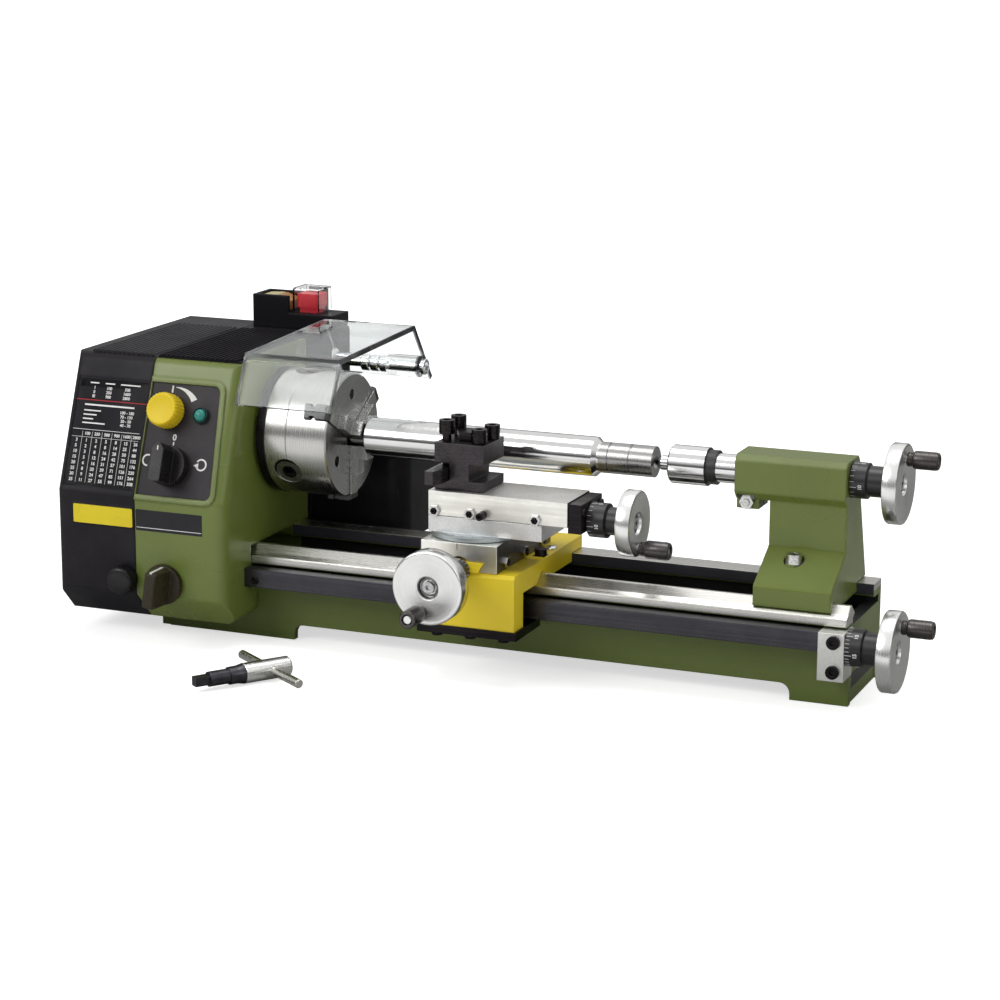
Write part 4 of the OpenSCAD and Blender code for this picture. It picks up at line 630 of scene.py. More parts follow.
plate_left, plate_right = -47.6, 0.4
plate_level = -0.6
plate_ink = plate_level + 0.06
figure_size, line_gap, range_gap = 2.5, 2.6, 2.55
steps = (100, 250, 500, 900, 1600, 2800)
diameters = (3, 5, 10, 15, 20, 25, 30, 35)
figures, rules = [], []
attach("data_plate", "end_cover_body", dress("plate_black", cast(
    (0.0145, 0.0125, 0.0150, 1), (0.019, 0.0165, 0.0195, 1), 0.34, 0.44, grain=0.00001), edge=0.0003),
    joined([prism(soft_block(-49.3, 2.4, 1.0, 68.9, 2.6), -1.2, plate_level, leaning)]))

for row, (low, high) in enumerate(((100, 500), (250, 1600), (900, 2800))):
    for text, x in (("I" * (row + 1), -37.0), (f"{low}", -27.0), (f"{high}", -14.5)):
        figure(text, figure_size, x, 63.4 - line_gap * row)
for row, (low, high) in enumerate(((100, 180), (70, 130), (30, 50), (40, 70))):
    figure(f"{low} - {high}", figure_size, -12.5, 49.4 - range_gap * row)
    rules.append(block(-42.0, 49.0 - range_gap * row, -42.0 + (11.5, 9.0, 7.0, 15.5)[row], 49.8 - range_gap * row))
rules += [block(-40.5, 66.0, -34.5, 66.8), block(-30.0, 66.0, -23.5, 66.8), block(-19.5, 66.0, -6.0, 66.8),
          block(-42.0, 52.4, -8.0, 53.4)]
table_top, row_gap, column_gap = 37.6, 3.45, 6.75
column = [plate_left + 3.6 + column_gap * i for i in range(7)]
for i, turns in enumerate(steps):
    figure(f"{turns}", 2.6, column[i + 1], table_top - 2.4)
    for row, diameter in enumerate(diameters):
        figure(f"{math.pi * diameter * turns / 1000:.0f}", 2.75, column[i + 1], table_top - 6.6 - row_gap * row)
    rules.append(block(column[i + 1] - column_gap / 2 - 0.1, 5.4, column[i + 1] - column_gap / 2 + 0.1, table_top - 1))
for row, diameter in enumerate(diameters):
    figure(f"{diameter}", 2.75, column[0], table_top - 6.6 - row_gap * row)
rules += [block(plate_left, table_top, plate_right - 2.4, table_top + 0.3),
          block(plate_left, table_top - 4.6, plate_right - 2.4, table_top - 4.4)]
attach("plate_figures", "end_cover_body", print_white, joined(figures))
attach("plate_rules", "end_cover_body", print_white,
       joined([prism(line, plate_level, plate_ink, leaning) for line in rules]))
attach("plate_red_line", "end_cover_body", print_red,
       joined([prism(block(plate_left - 0.6, 55.6, plate_right, 56.1), plate_level, plate_level + 0.07, leaning)]))

# Badge and label
# A bare yellow plate with a dark border on the end cover, and beside it a bare dark label
# with one thin white line along its foot.
upright = at(0, -76, 0) @ facing_front
badge_yellow = dress("badge_yellow", cast((0.72, 0.58, 0.022, 1), (0.66, 0.52, 0.02, 1), 0.22, 0.3,
                                          grain=0.00001), edge=0.0002, wear_and_highlight=0.2)
label_black = dress("label_black", cast((0.014, 0.013, 0.017, 1), (0.02, 0.019, 0.023, 1), 0.3, 0.4,
                                        grain=0.00001), edge=0.0002, wear_and_highlight=0.2)
attach("badge", "end_cover_body", badge_yellow,
       joined([prism(soft_block(-40.4, 71.4, -0.1, 82.8, 0.8), 0.55, 0.85, upright)]))
attach("label", "base", label_black, joined([prism(soft_block(2.0, 70.2, 46.5, 83.0, 0.5), -0.05, 0.15, upright)]))
attach("label_line", "base", print_white, joined([prism(block(2.4, 71.9, 46.1, 72.3), 0.1, 0.2, upright)]))

# Speed knob
# Yellow moulded knob, pushed on the shaft of the speed control.
# It has thirty shallow flutes on a slightly tapered rim and a flat face with a broken edge.


def turned_shape(profile, place=Matrix(), steps=64, flutes=0):
    """Closed turned shape round its own Z axis, from (height, radius, flute depth) points.
    The first and the last point are closed with a cap, or meet when the profile is a loop."""
    shape = bmesh.new()
    loop = profile[0][:2] == profile[-1][:2]
    points = profile[:-1] if loop else profile
    rows = []
    for point in points:
        height, radius, depth = (*point, 0.0)[:3]
        row = []
        for i in range(steps):
            angle = 2 * math.pi * i / steps
            reach = radius - depth * (0.5 - 0.5 * math.cos(flutes * angle))
            row.append(shape.verts.new((reach * math.cos(angle), reach * math.sin(angle), height)))
        rows.append(row)
    for index in range(len(rows) if loop else len(rows) - 1):
        a, b = rows[index], rows[(index + 1) % len(rows)]
        for i in range(steps):
            k = (i + 1) % steps
            shape.faces.new((a[i], a[k], b[k], b[i]))
    if not loop:
        shape.faces.new(reversed(rows[0]))
        shape.faces.new(rows[-1])
    shape.transform(place)
    return shape


knob_yellow = dress("knob_yellow", cast((0.72, 0.52, 0.016, 1), (0.78, 0.60, 0.03, 1), 0.3, 0.4,
                                        grain=0.00003), edge=0.0004)
attach("speed_knob_shape", "speed_knob_body", knob_yellow, joined([turned_shape(
    [(-9.5, 2.8), (0.2, 2.8), (0.2, 9.7), (0.5, 10.4, 0.25), (1.0, 10.7, 0.7), (8.8, 10.5, 0.7), (10.0, 10.1, 0.5),
     (10.7, 9.6, 0.2), (11.1, 8.9), (11.1, 8.1), (10.95, 7.7), (10.95, 0.5)], leaning @ at(*speed_mark, 0), 240, 30)]),
    "speed_knob")

# Pilot lamp
# A green plastic lens with a low dome.
# It sits in a dark collar that is pressed into the panel.
lens_green = dress("lens_green", cast((0.035, 0.24, 0.20, 1), (0.06, 0.33, 0.28, 1), 0.06, 0.12,
                                      grain=0.00001, pitch=500.0), edge=0.0002, wear_and_highlight=0.1)
dark_collar = dress("dark_collar", cast((0.012, 0.03, 0.027, 1), (0.02, 0.05, 0.045, 1), 0.2, 0.3), edge=0.0003)
lamp_place = leaning @ at(37.8, 51.9, 0)
attach("lamp_collar", "base", dark_collar, joined([
    turned_shape([(-1.7, 3.8), (-0.2, 3.8), (-0.2, 5.0), (1.9, 5.0), (2.5, 4.7), (2.7, 4.3), (2.2, 4.0), (1.2, 3.9),
                  (1.2, 1.0)], lamp_place)]), "pilot_lamp")
attach("lamp_lens", "base", lens_green, joined([
    turned_shape([(1.1, 3.7)] + [(1.6 + 3.1 * math.sin(math.radians(a)), 3.75 * math.cos(math.radians(a)))
                                 for a in range(0, 90, 9)], lamp_place)]))

# Direction switch
# Black bar knob with a round skirt, pushed on the switch behind the panel.
# A white tick on the end of the bar shows the setting.
knob_black = dress("knob_black", cast((0.0085, 0.0075, 0.0085, 1), (0.018, 0.016, 0.018, 1), 0.2, 0.32,
                                      grain=0.00002), edge=0.0009)
wear(knob_black, "direction_switch")
attach("switch_tick", "direction_switch_body", print_white, joined([
    prism(block(22.1, 27.1, 22.9, 29.5), 18.98, 19.08, leaning)]))

# Feed knob
# Dark brown bar knob on the upright front, for the feed of the leadscrew.
# It has a round skirt, a tapered bar across it and a white line on the bar's end.


def bar_outline(half, reach, count=8):
    """Outline of a bar with flat sides, whose two ends follow a circle."""
    spread = math.asin(half / reach)
    return [(reach * math.sin(a) * s, reach * math.cos(a) * s) for s in (1, -1)
            for a in (spread * (1 - 2 * i / count) for i in range(count + 1))]


feed_place = upright @ at(20.7, 38.8, 0) @ Matrix.Rotation(math.radians(-8), 4, "Z")
knob_brown = dress("knob_brown", cast((0.020, 0.0155, 0.0085, 1), (0.034, 0.027, 0.014, 1), 0.24, 0.36, grain=0.00002),
                   edge=0.0009)
attach("feed_knob_shape", "feed_knob_body", knob_brown, joined([
    turned_shape([(-12.8, 3.0), (0.3, 3.0), (0.3, 11.9), (0.7, 12.2), (3.4, 12.2), (4.1, 11.7), (4.3, 10.8),
                  (4.3, 0.5)], feed_place),
    lofted([(bar_outline(5.4, 11.5), 4.0), (bar_outline(4.6, 11.4), 12.0), (bar_outline(3.9, 11.3), 18.9),
            (bar_outline(3.5, 10.6), 19.9), (bar_outline(2.9, 10.1), 20.3)], feed_place)]), "feed_knob")
attach("feed_line", "feed_knob_body", print_white,
       joined([prism(block(-0.65, 5.4, 0.65, 19.6), -11.75, -10.4, feed_place @ facing_front)]))

# Geometry tree: serrations
# Teeth of a straight knurl round a knob, as a rolling tool or a mould leaves them:
# slim ridges that stand on its rim along the axis.


def new_tree(name, inputs):
    """Starts a geometry tree and gives it with the sockets that come in and those that go out."""
    return new_group(name, [("Geometry", "Geometry", None)] + inputs, [("Geometry", "Geometry")], "GeometryNodeTree")


def close_tree(tree, instances, material, result):
    """Ends a geometry tree: the copies become plain mesh and take their material."""
    real = put(tree, "GeometryNodeRealizeInstances", {0: instances}).outputs[0]
    tree.links.new(put(tree, "GeometryNodeSetMaterial", {0: real, "Material": material}).outputs[0], result[0])


knurl_tree, given, result = new_tree("serrations", [
    ("Count", "Int", 40), ("Radius", "Float", 8.0), ("Length", "Float", 8.0), ("Tooth", "Float", 0.7),
    ("Material", "Material", None)])
ring = put(knurl_tree, "GeometryNodeMeshCircle", {"Vertices": given["Count"], "Radius": given["Radius"]}).outputs[0]
place = split(knurl_tree, put(knurl_tree, "GeometryNodeInputPosition").outputs[0])
turn = put(knurl_tree, "CombineXYZ", {2: calc(knurl_tree, "ARCTAN2", place[1], place[0])}).outputs[0]
ridge = put(knurl_tree, "GeometryNodeMeshCone", {
    "Vertices": 4, "Radius Top": calc(knurl_tree, "MULTIPLY", given["Tooth"], 0.75), "Radius Bottom": given["Tooth"],
    "Depth": given["Length"]}).outputs[0]
ridges = put(knurl_tree, "GeometryNodeInstanceOnPoints", {"Points": ring, "Instance": ridge,
                                                          "Rotation": turn}).outputs[0]
close_tree(knurl_tree, ridges, given["Material"], result)

# Thumbscrew
# Black plastic knob with straight serrations and a plain domed face.
# Its screw holds the end cover on the headstock.


def grown(tree, values, place=Matrix(), seeds=()):
    """Plain mesh in metres from a geometry tree with its own values, built in millimetres."""
    mesh = bpy.data.meshes.new("seed")
    mesh.from_pydata(list(seeds), [], [])
    thing = bpy.data.objects.new("seed", mesh)
    bpy.context.scene.collection.objects.link(thing)
    modifier = thing.modifiers.new("growth", "NODES")
    modifier.node_group = tree
    names = {item.name: item.identifier for item in tree.interface.items_tree
             if item.item_type == "SOCKET" and item.in_out == "INPUT"}
    for label, value in values.items():
        modifier[names[label]] = value
    depsgraph = bpy.context.evaluated_depsgraph_get()
    result = bpy.data.meshes.new_from_object(thing.evaluated_get(depsgraph), preserve_all_data_layers=True,
                                             depsgraph=depsgraph)
    thing.modifiers.remove(modifier)
    bpy.data.objects.remove(thing)
    bpy.data.meshes.remove(mesh)
    result.transform(Matrix.Scale(mm, 4) @ place)
    return result


thumb_place = upright @ at(-6, 39.5, 0)
thumb_body = joined([turned_shape([(-9.3, 2.4), (0.3, 2.4), (0.3, 7.6), (0.6, 8.0), (8.4, 8.0), (9.0, 7.4), (9.3, 6.4),
                                   (9.35, 0.5)], thumb_place)])
attach("thumbscrew", "cover_screw_body", knob_black, thumb_body, "cover_screw")
attach("thumbscrew_teeth", "cover_screw_body", None,
       grown(knurl_tree, {"Count": 44, "Radius": 7.95, "Length": 7.6, "Tooth": 0.8, "Material": knob_black},
             thumb_place @ at(0, 0, 0.7)))

# Stop button
# Hollow block of red plastic with softly broken edges.
# It slides down over a red guide that stands on the switch box.
stop_red = dress("stop_red", cast((0.56, 0.016, 0.03, 1), (0.60, 0.025, 0.04, 1), 0.24, 0.34), edge=0.001)
attach("stop_block", "stop_button_body", stop_red, joined([lofted([
    (soft_block(33.7, 81.7, 46.3, 94.3, 0.7), 187.0), (soft_block(33.7, 81.7, 46.3, 94.3, 0.7), 183.3),
    (soft_block(33, 81, 47, 95, 1.0), 183.3), (soft_block(33, 81, 47, 95, 1.0), 191.6),
    (soft_block(33.3, 81.3, 46.7, 94.7, 1.0), 192.2), (soft_block(33.9, 81.9, 46.1, 94.1, 0.8), 192.4)])]),
    "stop_button")
attach("stop_guide", "base", stop_red, joined([prism(soft_block(34.0, 82.0, 46.0, 94.0, 0.6), 179.9, 183.6)]))

# Clear sheet
# The chuck guard is bent from 3 mm clear sheet, and a clear flap covers the stop button.
# The sawn ends and edges are frosted and carry painted light, the bend is frosted with a band of painted shade above
# it, and grey blotches on the flat top are a painted reflection.
clear_sheet, tree, shader = new_material("clear_sheet", (0.85, 0.9, 0.88))
spot = here(tree)
film = noise(tree, spot, 30.0, 4.0)
reflection_blotch_noise = noise(tree, spot, 14.0, 2.0)
rounded = put(tree, "Group", {"Radius": 0.0006}, node_tree=soften).outputs["Edge"]
sawn = cover(tree, [((0.0619, -0.1, 0.1), (0.0630, 0.2, 0.3)), ((0.1229, -0.1, 0.1), (0.1242, 0.2, 0.3))])
bend = cover(tree, [((0.0619, -0.0494, 0.1732), (0.1242, -0.0471, 0.1769))])
# A dark band painted along the top of the bend: painted shade.
bend_painted_dark_line = cover(tree, [((0.0619, -0.0471, 0.1760), (0.1242, -0.0461, 0.1776))])
# Grey blotches painted on the flat top: a painted reflection.
painted_reflection_blotches = calc(tree, "MULTIPLY", cover(tree, [((0.0630, -0.0461, 0.1765), (0.1229, 0.0600, 0.1815))]),
            ramp(tree, reflection_blotch_noise, 0.42, 0.56, 0.35, 1.0))
frost = calc(tree, "MAXIMUM", sawn, calc(tree, "MULTIPLY", rounded, 0.45))
# The sawn ends and edges are painted with dark and light dashes: painted light in the edges.
painted_edge_light = blend_colour(tree, ramp(tree, film, 0.42, 0.58), (0.05, 0.05, 0.06, 1), (0.5, 0.53, 0.54, 1))
tint = blend_colour(tree, painted_reflection_blotches, (0.965, 0.985, 0.98, 1), (0.80, 0.825, 0.83, 1))
tint = blend_colour(tree, bend, blend_colour(tree, frost, tint, painted_edge_light), (0.95, 0.96, 0.96, 1))
feed(tree, shader.inputs, {
    "Base Color": blend_colour(tree, bend_painted_dark_line, tint, (0.16, 0.17, 0.19, 1)), "IOR": 1.34, "Transmission Weight": 1.0,
    "Roughness": between(tree, calc(tree, "MAXIMUM", frost, bend), ramp(tree, film, 0.5, 0.9, 0.0, 0.01), 0.4)})
wear(clear_sheet, "chuck_guard", "switch_flap")

# Hinge rod of the guard
# Polished steel rod on which the chuck guard tips up.
# It has a flange on the headstock, three collars and a hollow end cap.
facing_right = axes((0, 1, 0), (0, 0, 1), (1, 0, 0))
rod_profile = [(61.0, 5.4), (65.4, 5.4), (66.0, 4.9), (66.0, 3.0)]
for start in (84.7, 91.1, 97.5):
    rod_profile += [(start, 3.0), (start, 4.7), (start + 0.5, 5.2), (start + 4.7, 5.2), (start + 5.2, 4.7),
                    (start + 5.2, 3.0)]
rod_profile += [(124.3, 3.0), (124.3, 4.8), (124.7, 5.0), (127.6, 5.0), (128.0, 4.7), (128.0, 3.9), (125.4, 3.7),
                (125.4, 0.5)]
rod_steel = dress("rod_steel", spun((0.84, 0.85, 0.86, 1), (0.74, 0.75, 0.76, 1), (0, 0.0685, 0.154),
                                    smooth=0.08, rough=0.2), edge=0.0005)
attach("guard_rod_shape", "base", rod_steel,
       joined([turned_shape(rod_profile, at(0, 68.5, 154) @ facing_right, 48)]), "guard_rod")

# Spindle nose and chuck
# Blacked backplate ring, turned steel body with fine rings on its face, ground jaws painted dark in their slots as
# shade, and pinions with a blacked socket and a dark ring of painted shade round each. Belt, pulleys and gears behind
# them are of rubber, alloy and brass.
spindle_height = 0.1226
spindle_centre = (0.0, 0.0, spindle_height)
fine_grain = (900.0, 900.0, 900.0)
oxide = cut((0.030, 0.027, 0.029, 1), (0.018, 0.016, 0.018, 1), 0.3, 0.46)
blacked = dress("blacked_steel", oxide, edge=0.0006)
chuck_steel = spun((0.52, 0.515, 0.495, 1), (0.46, 0.455, 0.435, 1), spindle_centre, smooth=0.2, rough=0.3,
                   marks=2600.0)
chuck_face = spun((0.40, 0.40, 0.40, 1), (0.29, 0.29, 0.29, 1), spindle_centre, smooth=0.22, rough=0.34, marks=1900.0)
wear(dress("chuck_steel", chuck_steel, (chuck_face, [((0.1088, -0.05, 0.07), (0.12, 0.05, 0.17))]), edge=0.0005),
     "chuck_body")
# Past the face ring the jaws are painted dark grey: painted shade in their slots.
slot_painted_shade = cut((0.09, 0.09, 0.09, 1), (0.05, 0.05, 0.05, 1), 0.3, 0.44, fine_grain)
wear(dress("jaw_steel", cut((0.40, 0.40, 0.39, 1), (0.27, 0.27, 0.26, 1), 0.22, 0.36, fine_grain),
           (slot_painted_shade, [(spindle_centre, (0, 1, 1), 0.0361, 0.05)]), edge=0.0005),
     "jaw_1", "jaw_2", "jaw_3", "scroll", "spindle_bearings")
wear(blacked, "backplate", "motor")
pinion_reach, socket_reach, gap_shade_reach = 0.0363, 0.0046, 0.0083
rings_and_sockets = []
for k in (1, 2, 3):
    low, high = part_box(f"pinion_{k}")
    middle = (Vector(low) + Vector(high)) / 2
    arm = Vector((0, middle.y, middle.z - spindle_height)).normalized() * pinion_reach
    face = (middle.x, arm.y, spindle_height + arm.z)
    # From 8.3 mm out each pinion is painted dark: painted shade of the gap between it and the body.
    rings_and_sockets += [(face, (1, 1, 1), -1.0, socket_reach), (face, (1, 1, 1), gap_shade_reach, 0.02)]
wear(dress("pinion_steel", cut((0.30, 0.30, 0.29, 1), (0.2, 0.2, 0.195, 1), 0.24, 0.36, (700.0, 700.0, 700.0)),
           (oxide, rings_and_sockets), edge=0.0005), "pinion_1", "pinion_2", "pinion_3")
wear(dress("belt_rubber", cast((0.01, 0.01, 0.01, 1), (0.016, 0.016, 0.016, 1), 0.6, 0.75), edge=0.0003), "drive_belt")
wear(dress("pulley_alloy", cut((0.62, 0.62, 0.60, 1), (0.52, 0.52, 0.50, 1), 0.3, 0.44), edge=0.0004), "motor_pulley",
     "spindle_pulley")
wear(dress("gear_brass", cut((0.60, 0.44, 0.17, 1), (0.46, 0.33, 0.12, 1), 0.22, 0.36), edge=0.0003), "idler_gear")

# Workpiece
# Polished steel bar between the jaws and the centre.
# Its far end carries a darker sleeve with two grooves.
polished = spun((0.67, 0.67, 0.665, 1), (0.60, 0.60, 0.595, 1), spindle_centre, smooth=0.07, rough=0.15, marks=5200.0)
sleeve = spun((0.38, 0.375, 0.37, 1), (0.30, 0.295, 0.29, 1), spindle_centre, smooth=0.22, rough=0.32,
              marks=2600.0, depth=0.00002)
wear(dress("bar_steel", polished, (sleeve, [((0.2702, -0.03, 0.09), (0.3034, 0.03, 0.16))]), edge=0.0004),
     "workpiece", "spindle")

# Quill and live centre
# Chromed quill that slides in the tailstock, with the turned body and point of the live centre in it.
# One black rubber seal ring lies between them.
chrome = spun((0.72, 0.72, 0.72, 1), (0.66, 0.66, 0.66, 1), spindle_centre, smooth=0.05, rough=0.12, marks=4200.0)
seal = cast((0.010, 0.010, 0.010, 1), (0.018, 0.018, 0.018, 1), 0.3, 0.45)
wear(dress("quill_chrome", chrome, (seal, [((0.3353, -0.03, 0.09), (0.3412, 0.03, 0.16))]), edge=0.0004), "quill",
     "live_centre")

# Geometry tree: graduations
# Engraved or printed lines of a scale. They stand round a drum or a disc, or in a straight row, and every
# few lines a longer one is drawn.
scale_tree, given, result = new_tree("graduations", [
    ("Count", "Int", 50), ("Every", "Int", 5), ("Start", "Float", 0.0), ("Step", "Float", 0.1),
    ("Radius", "Float", 10.0), ("Pitch", "Vector", (0, 0, 0)), ("Short", "Vector", (2.5, 0.1, 0.25)),
    ("Long", "Vector", (4.0, 0.1, 0.3)), ("Anchor", "Vector", (0.5, 0, 0)), ("Material", "Material", None)])
index = put(scale_tree, "GeometryNodeInputIndex").outputs[0]
angle = calc(scale_tree, "ADD", given["Start"], calc(scale_tree, "MULTIPLY", index, given["Step"]))
spoke = put(scale_tree, "CombineXYZ", {1: calc(scale_tree, "COSINE", angle), 2: calc(scale_tree, "SINE", angle)})
stand = put(scale_tree, "VectorMath", {0: spoke.outputs[0], "Scale": given["Radius"]}, operation="SCALE").outputs[0]
shift = put(scale_tree, "VectorMath", {0: given["Pitch"], "Scale": index}, operation="SCALE").outputs[0]
spot = put(scale_tree, "VectorMath", {0: stand, 1: shift}, operation="ADD").outputs[0]
points = put(scale_tree, "GeometryNodePoints", {"Count": given["Count"], "Position": spot}).outputs[0]
bar = put(scale_tree, "GeometryNodeTransform", {0: put(scale_tree, "GeometryNodeMeshCube").outputs[0],
                                                "Translation": given["Anchor"]}).outputs[0]
long_one = put(scale_tree, "FunctionNodeCompare", {2: calc(scale_tree, "MODULO", index, given["Every"]), 3: 0},
               data_type="INT", operation="EQUAL").outputs[0]
size = put(scale_tree, "GeometryNodeSwitch", {0: long_one, 1: given["Short"], 2: given["Long"]},
           input_type="VECTOR").outputs[0]
turn = put(scale_tree, "CombineXYZ", {0: angle}).outputs[0]
bars = put(scale_tree, "GeometryNodeInstanceOnPoints", {"Points": points, "Instance": bar, "Rotation": turn,
                                                        "Scale": size}).outputs[0]
close_tree(scale_tree, bars, given["Material"], result)

# Geometry tree: socket screws
# Heads of cap screws and set screws with their hexagon sockets, one on each point, pointing along Z.
# With six sides and a wide flat socket the same tree makes a hexagon nut.
screw_tree, given, result = new_tree("socket_screws", [
    ("Radius", "Float", 3.8), ("Height", "Float", 3.0), ("Taper", "Float", 0.3), ("Socket", "Float", 1.8),
    ("Depth", "Float", 1.6), ("Sides", "Int", 40), ("Material", "Material", None)])
head = put(screw_tree, "GeometryNodeMeshCone", {
    "Vertices": given["Sides"], "Radius Top": calc(screw_tree, "SUBTRACT", given["Radius"], given["Taper"]),
    "Radius Bottom": given["Radius"], "Depth": given["Height"]}).outputs[0]
hollow = put(screw_tree, "GeometryNodeMeshCone", {"Vertices": 6, "Radius Top": given["Socket"],
                                                  "Radius Bottom": given["Socket"], "Depth": 5.0}).outputs[0]
floor_height = calc(screw_tree, "SUBTRACT", given["Height"], given["Depth"])
hollow = put(screw_tree, "GeometryNodeTransform", {
    0: hollow, "Translation": put(screw_tree, "CombineXYZ", {2: floor_height}).outputs[0]}).outputs[0]
head = put(screw_tree, "GeometryNodeMeshBoolean", {"Mesh 1": head, "Mesh 2": hollow},
           operation="DIFFERENCE").outputs[0]
heads = put(screw_tree, "GeometryNodeInstanceOnPoints", {"Points": given["Geometry"], "Instance": head}).outputs[0]
close_tree(screw_tree, heads, given["Material"], result)

# Handwheels and dials
# Solid turned wheels of bright alloy: broad rim, slightly hollow face and a deep hub with a socket screw.
# Each wheel is pressed on a black sleeve that carries the scale of its screw, printed in white.


def screws(name, body, place, spots, sizes, material, sides=40):
    """Socket screws on points of a place: radius, height, taper, and the radius and depth of the socket."""
    values = dict(zip(("Radius", "Height", "Taper", "Socket", "Depth"), sizes))
    attach(name, body, None, grown(screw_tree, {**values, "Sides": sides, "Material": material}, place, spots))


def hand_wheel(name, body, place, width, thick, pin_turn, across=(0, 1, 1), face=(0.74, 0.74, 0.73, 1)):
    """One handwheel with its hub screw and its grip, drawn outwards from the inner face of the wheel."""
    wheel, grip_name = name + "_wheel", name + "_grip"
    rim = width / 2
    profile = [(0, 3.2), (0, 7.6), (0.5, 8.1), (2.4, 8.5), (2.7, 9.3), (2.7, rim - 5.4), (2.3, rim - 4.9),
               (0.5, rim - 3.8), (0.15, rim - 3.2), (0.15, rim - 1.3), (0.45, rim - 0.4), (1.1, rim),
               (thick - 1.2, rim), (thick - 0.45, rim - 0.35), (thick, rim - 1.1), (thick, rim - 1.8),
               (thick - 0.2, rim - 2.6), (thick - 0.9, 7.3), (thick - 1.1, 6.7), (thick - 1.6, 6.3),
               (thick - 4.2, 5.9), (thick - 4.5, 5.4), (thick - 4.5, 3.0)]
    stud = place @ Matrix.Rotation(math.radians(pin_turn), 4, "Z") @ at(14.4, 0, 0)
    centre = tuple(place.translation * mm)
    alloy = spun(wheel_bright, wheel_line, centre, across, 0.2, 0.3, marks=3200.0)
    # The ring between the hub screw and the hub's wall is painted dark grey: painted shade in the recess.
    hollow = spun((0.26, 0.26, 0.26, 1), (0.2, 0.2, 0.2, 1), centre, across, 0.24, 0.36, marks=2600.0)
    flat = spun(face, tuple(c * 0.9 for c in face[:3]) + (1,), centre, across, 0.26, 0.38, marks=3200.0)
    socket_reach, hub_reach = 0.0042, 0.0061
    skin = dress(wheel + "_alloy", alloy, (flat, [(centre, across, hub_reach, (rim - 1.5) * mm)]),
                 (hollow, [(centre, across, socket_reach, hub_reach)]), edge=0.0006)
    pin = [(thick - 1.0, 2.5), (thick + 0.6, 2.5), (thick + 0.9, 2.3), (thick + 17.5, 2.3)]
    attach(wheel + "_shape", body, skin, joined([turned_shape(profile, place, 96), turned_shape(pin, stud, 24)]), wheel)
    screws(wheel + "_hub_screw", body, place @ at(0, 0, thick - 4.6), [(0, 0, 0)], (3.7, 2.6, 0.3, 1.7, 1.5),
           stud_steel)
    sleeve = [(0, 2.56), (0, 3.7), (0.5, 4.0), (2.4, 4.0), (2.7, 3.6), (3.3, 3.6), (3.6, 4.6), (4.1, 5.0), (5.0, 5.2),
              (15.9, 5.2), (17.4, 4.9), (18, 4.3), (18, 3.1), (17.2, 2.9), (16.6, 2.9), (16.6, 2.56), (0, 2.56)]
    attach(wheel + "_grip_shape", grip_name + "_body", grip_black,
           joined([turned_shape(sleeve, stud @ at(0, 0, thick + 0.35), 48)]), grip_name)
    screws(wheel + "_stud_end", body, stud @ at(0, 0, thick + 15.6), [(0, 0, 0)], (2.3, 1.6, 0.2, 1.3, 1.2), blacked)


def drum_scale(name, body, axis, start, radius, count, numbers):
    """White lines round a black dial, a longer one at every fifth place, and figures beyond the long lines.
    The axis is a place whose X runs along the drum, away from the graduated edge."""
    first, step = 0.2, 2 * math.pi / count
    attach(name + "_lines", body, None, grown(scale_tree, {
        "Count": count, "Every": 5, "Start": first, "Step": step, "Radius": radius, "Short": (2.4, 0.08, 0.22),
        "Long": (3.9, 0.08, 0.3), "Anchor": (0.5, 0, 0), "Material": print_white}, axis @ at(start, 0, 0)))
    shapes = []
    for i, text in enumerate(numbers):
        angle = first + step * 5 * i
        out = Vector((0, math.cos(angle), math.sin(angle)))
        up = Vector((-1, 0, 0))
        shapes.append(lettering(text, 3.1, 0.0, 0.07, axis @ axes(up.cross(out), up, out, (start + 5.9, 0, 0)),
                                radius))
    attach(name + "_figures", body, print_white, joined(shapes))


wheel_bright = (0.80, 0.80, 0.79, 1)
wheel_line = (0.72, 0.72, 0.71, 1)
scale_black = cast((0.010, 0.009, 0.0105, 1), (0.020, 0.018, 0.020, 1), 0.26, 0.38, grain=0.00001)
grip_black = dress("grip_black", spun((0.100, 0.093, 0.090, 1), (0.064, 0.059, 0.058, 1), (0, 0, 0), (0, 1, 1), 0.24,
                                      0.36, marks=1500.0), edge=0.0006, wear_and_highlight=0.3)
stud_steel = dress("stud_steel", cut((0.5, 0.5, 0.5, 1), (0.36, 0.36, 0.36, 1), 0.2, 0.34), edge=0.0003)

thirty = [str(n) for n in range(0, 30, 5)]
twenty = [str(n) for n in range(0, 20, 5)]

# Leadscrew end
# The silver bearing block is screwed to the front of the bed by two black cap screws.
# The leadscrew runs through it to a black dial and its handwheel.


def feed_screw(node, centre, across, dial):
    """Steel feed screw whose sleeve, inside the box of its dial, is black."""
    wear(dress(node + "_steel", spun((0.6, 0.6, 0.6, 1), (0.45, 0.45, 0.45, 1), centre, across, 0.2, 0.34),
               (scale_black, [dial]), edge=0.0004), node)


lead_place = at(0, -42, 37.5)
feed_screw("leadscrew", (0, -0.042, 0.0375), (0, 1, 1), ((0.4317, -0.06, 0.02), (0.4522, -0.02, 0.06)))
hand_wheel("lead", "leadscrew_body", lead_place @ facing_right @ at(0, 0, 452.05), 46, 9, 90)
drum_scale("lead_scale", "leadscrew_body", lead_place, 432.1, 10.7, 30, thirty)
block_silver = cut((0.82, 0.82, 0.79, 1), (0.75, 0.75, 0.72, 1), 0.32, 0.46, (700.0, 700.0, 700.0), 0.00003)
wear(dress("bearing_silver", block_silver, (oxide, [((0.4212, -0.06, 0.020), (0.4295, -0.0511, 0.046))]), edge=0.0006),
     "bearing_block")
screws("block_screws", "base", facing_front @ at(0, 0, 51.0), [(425.5, 24.6, 0), (425.5, 41.6, 0)],
       (3.9, 2.5, 0.35, 2.0, 1.7), blacked)

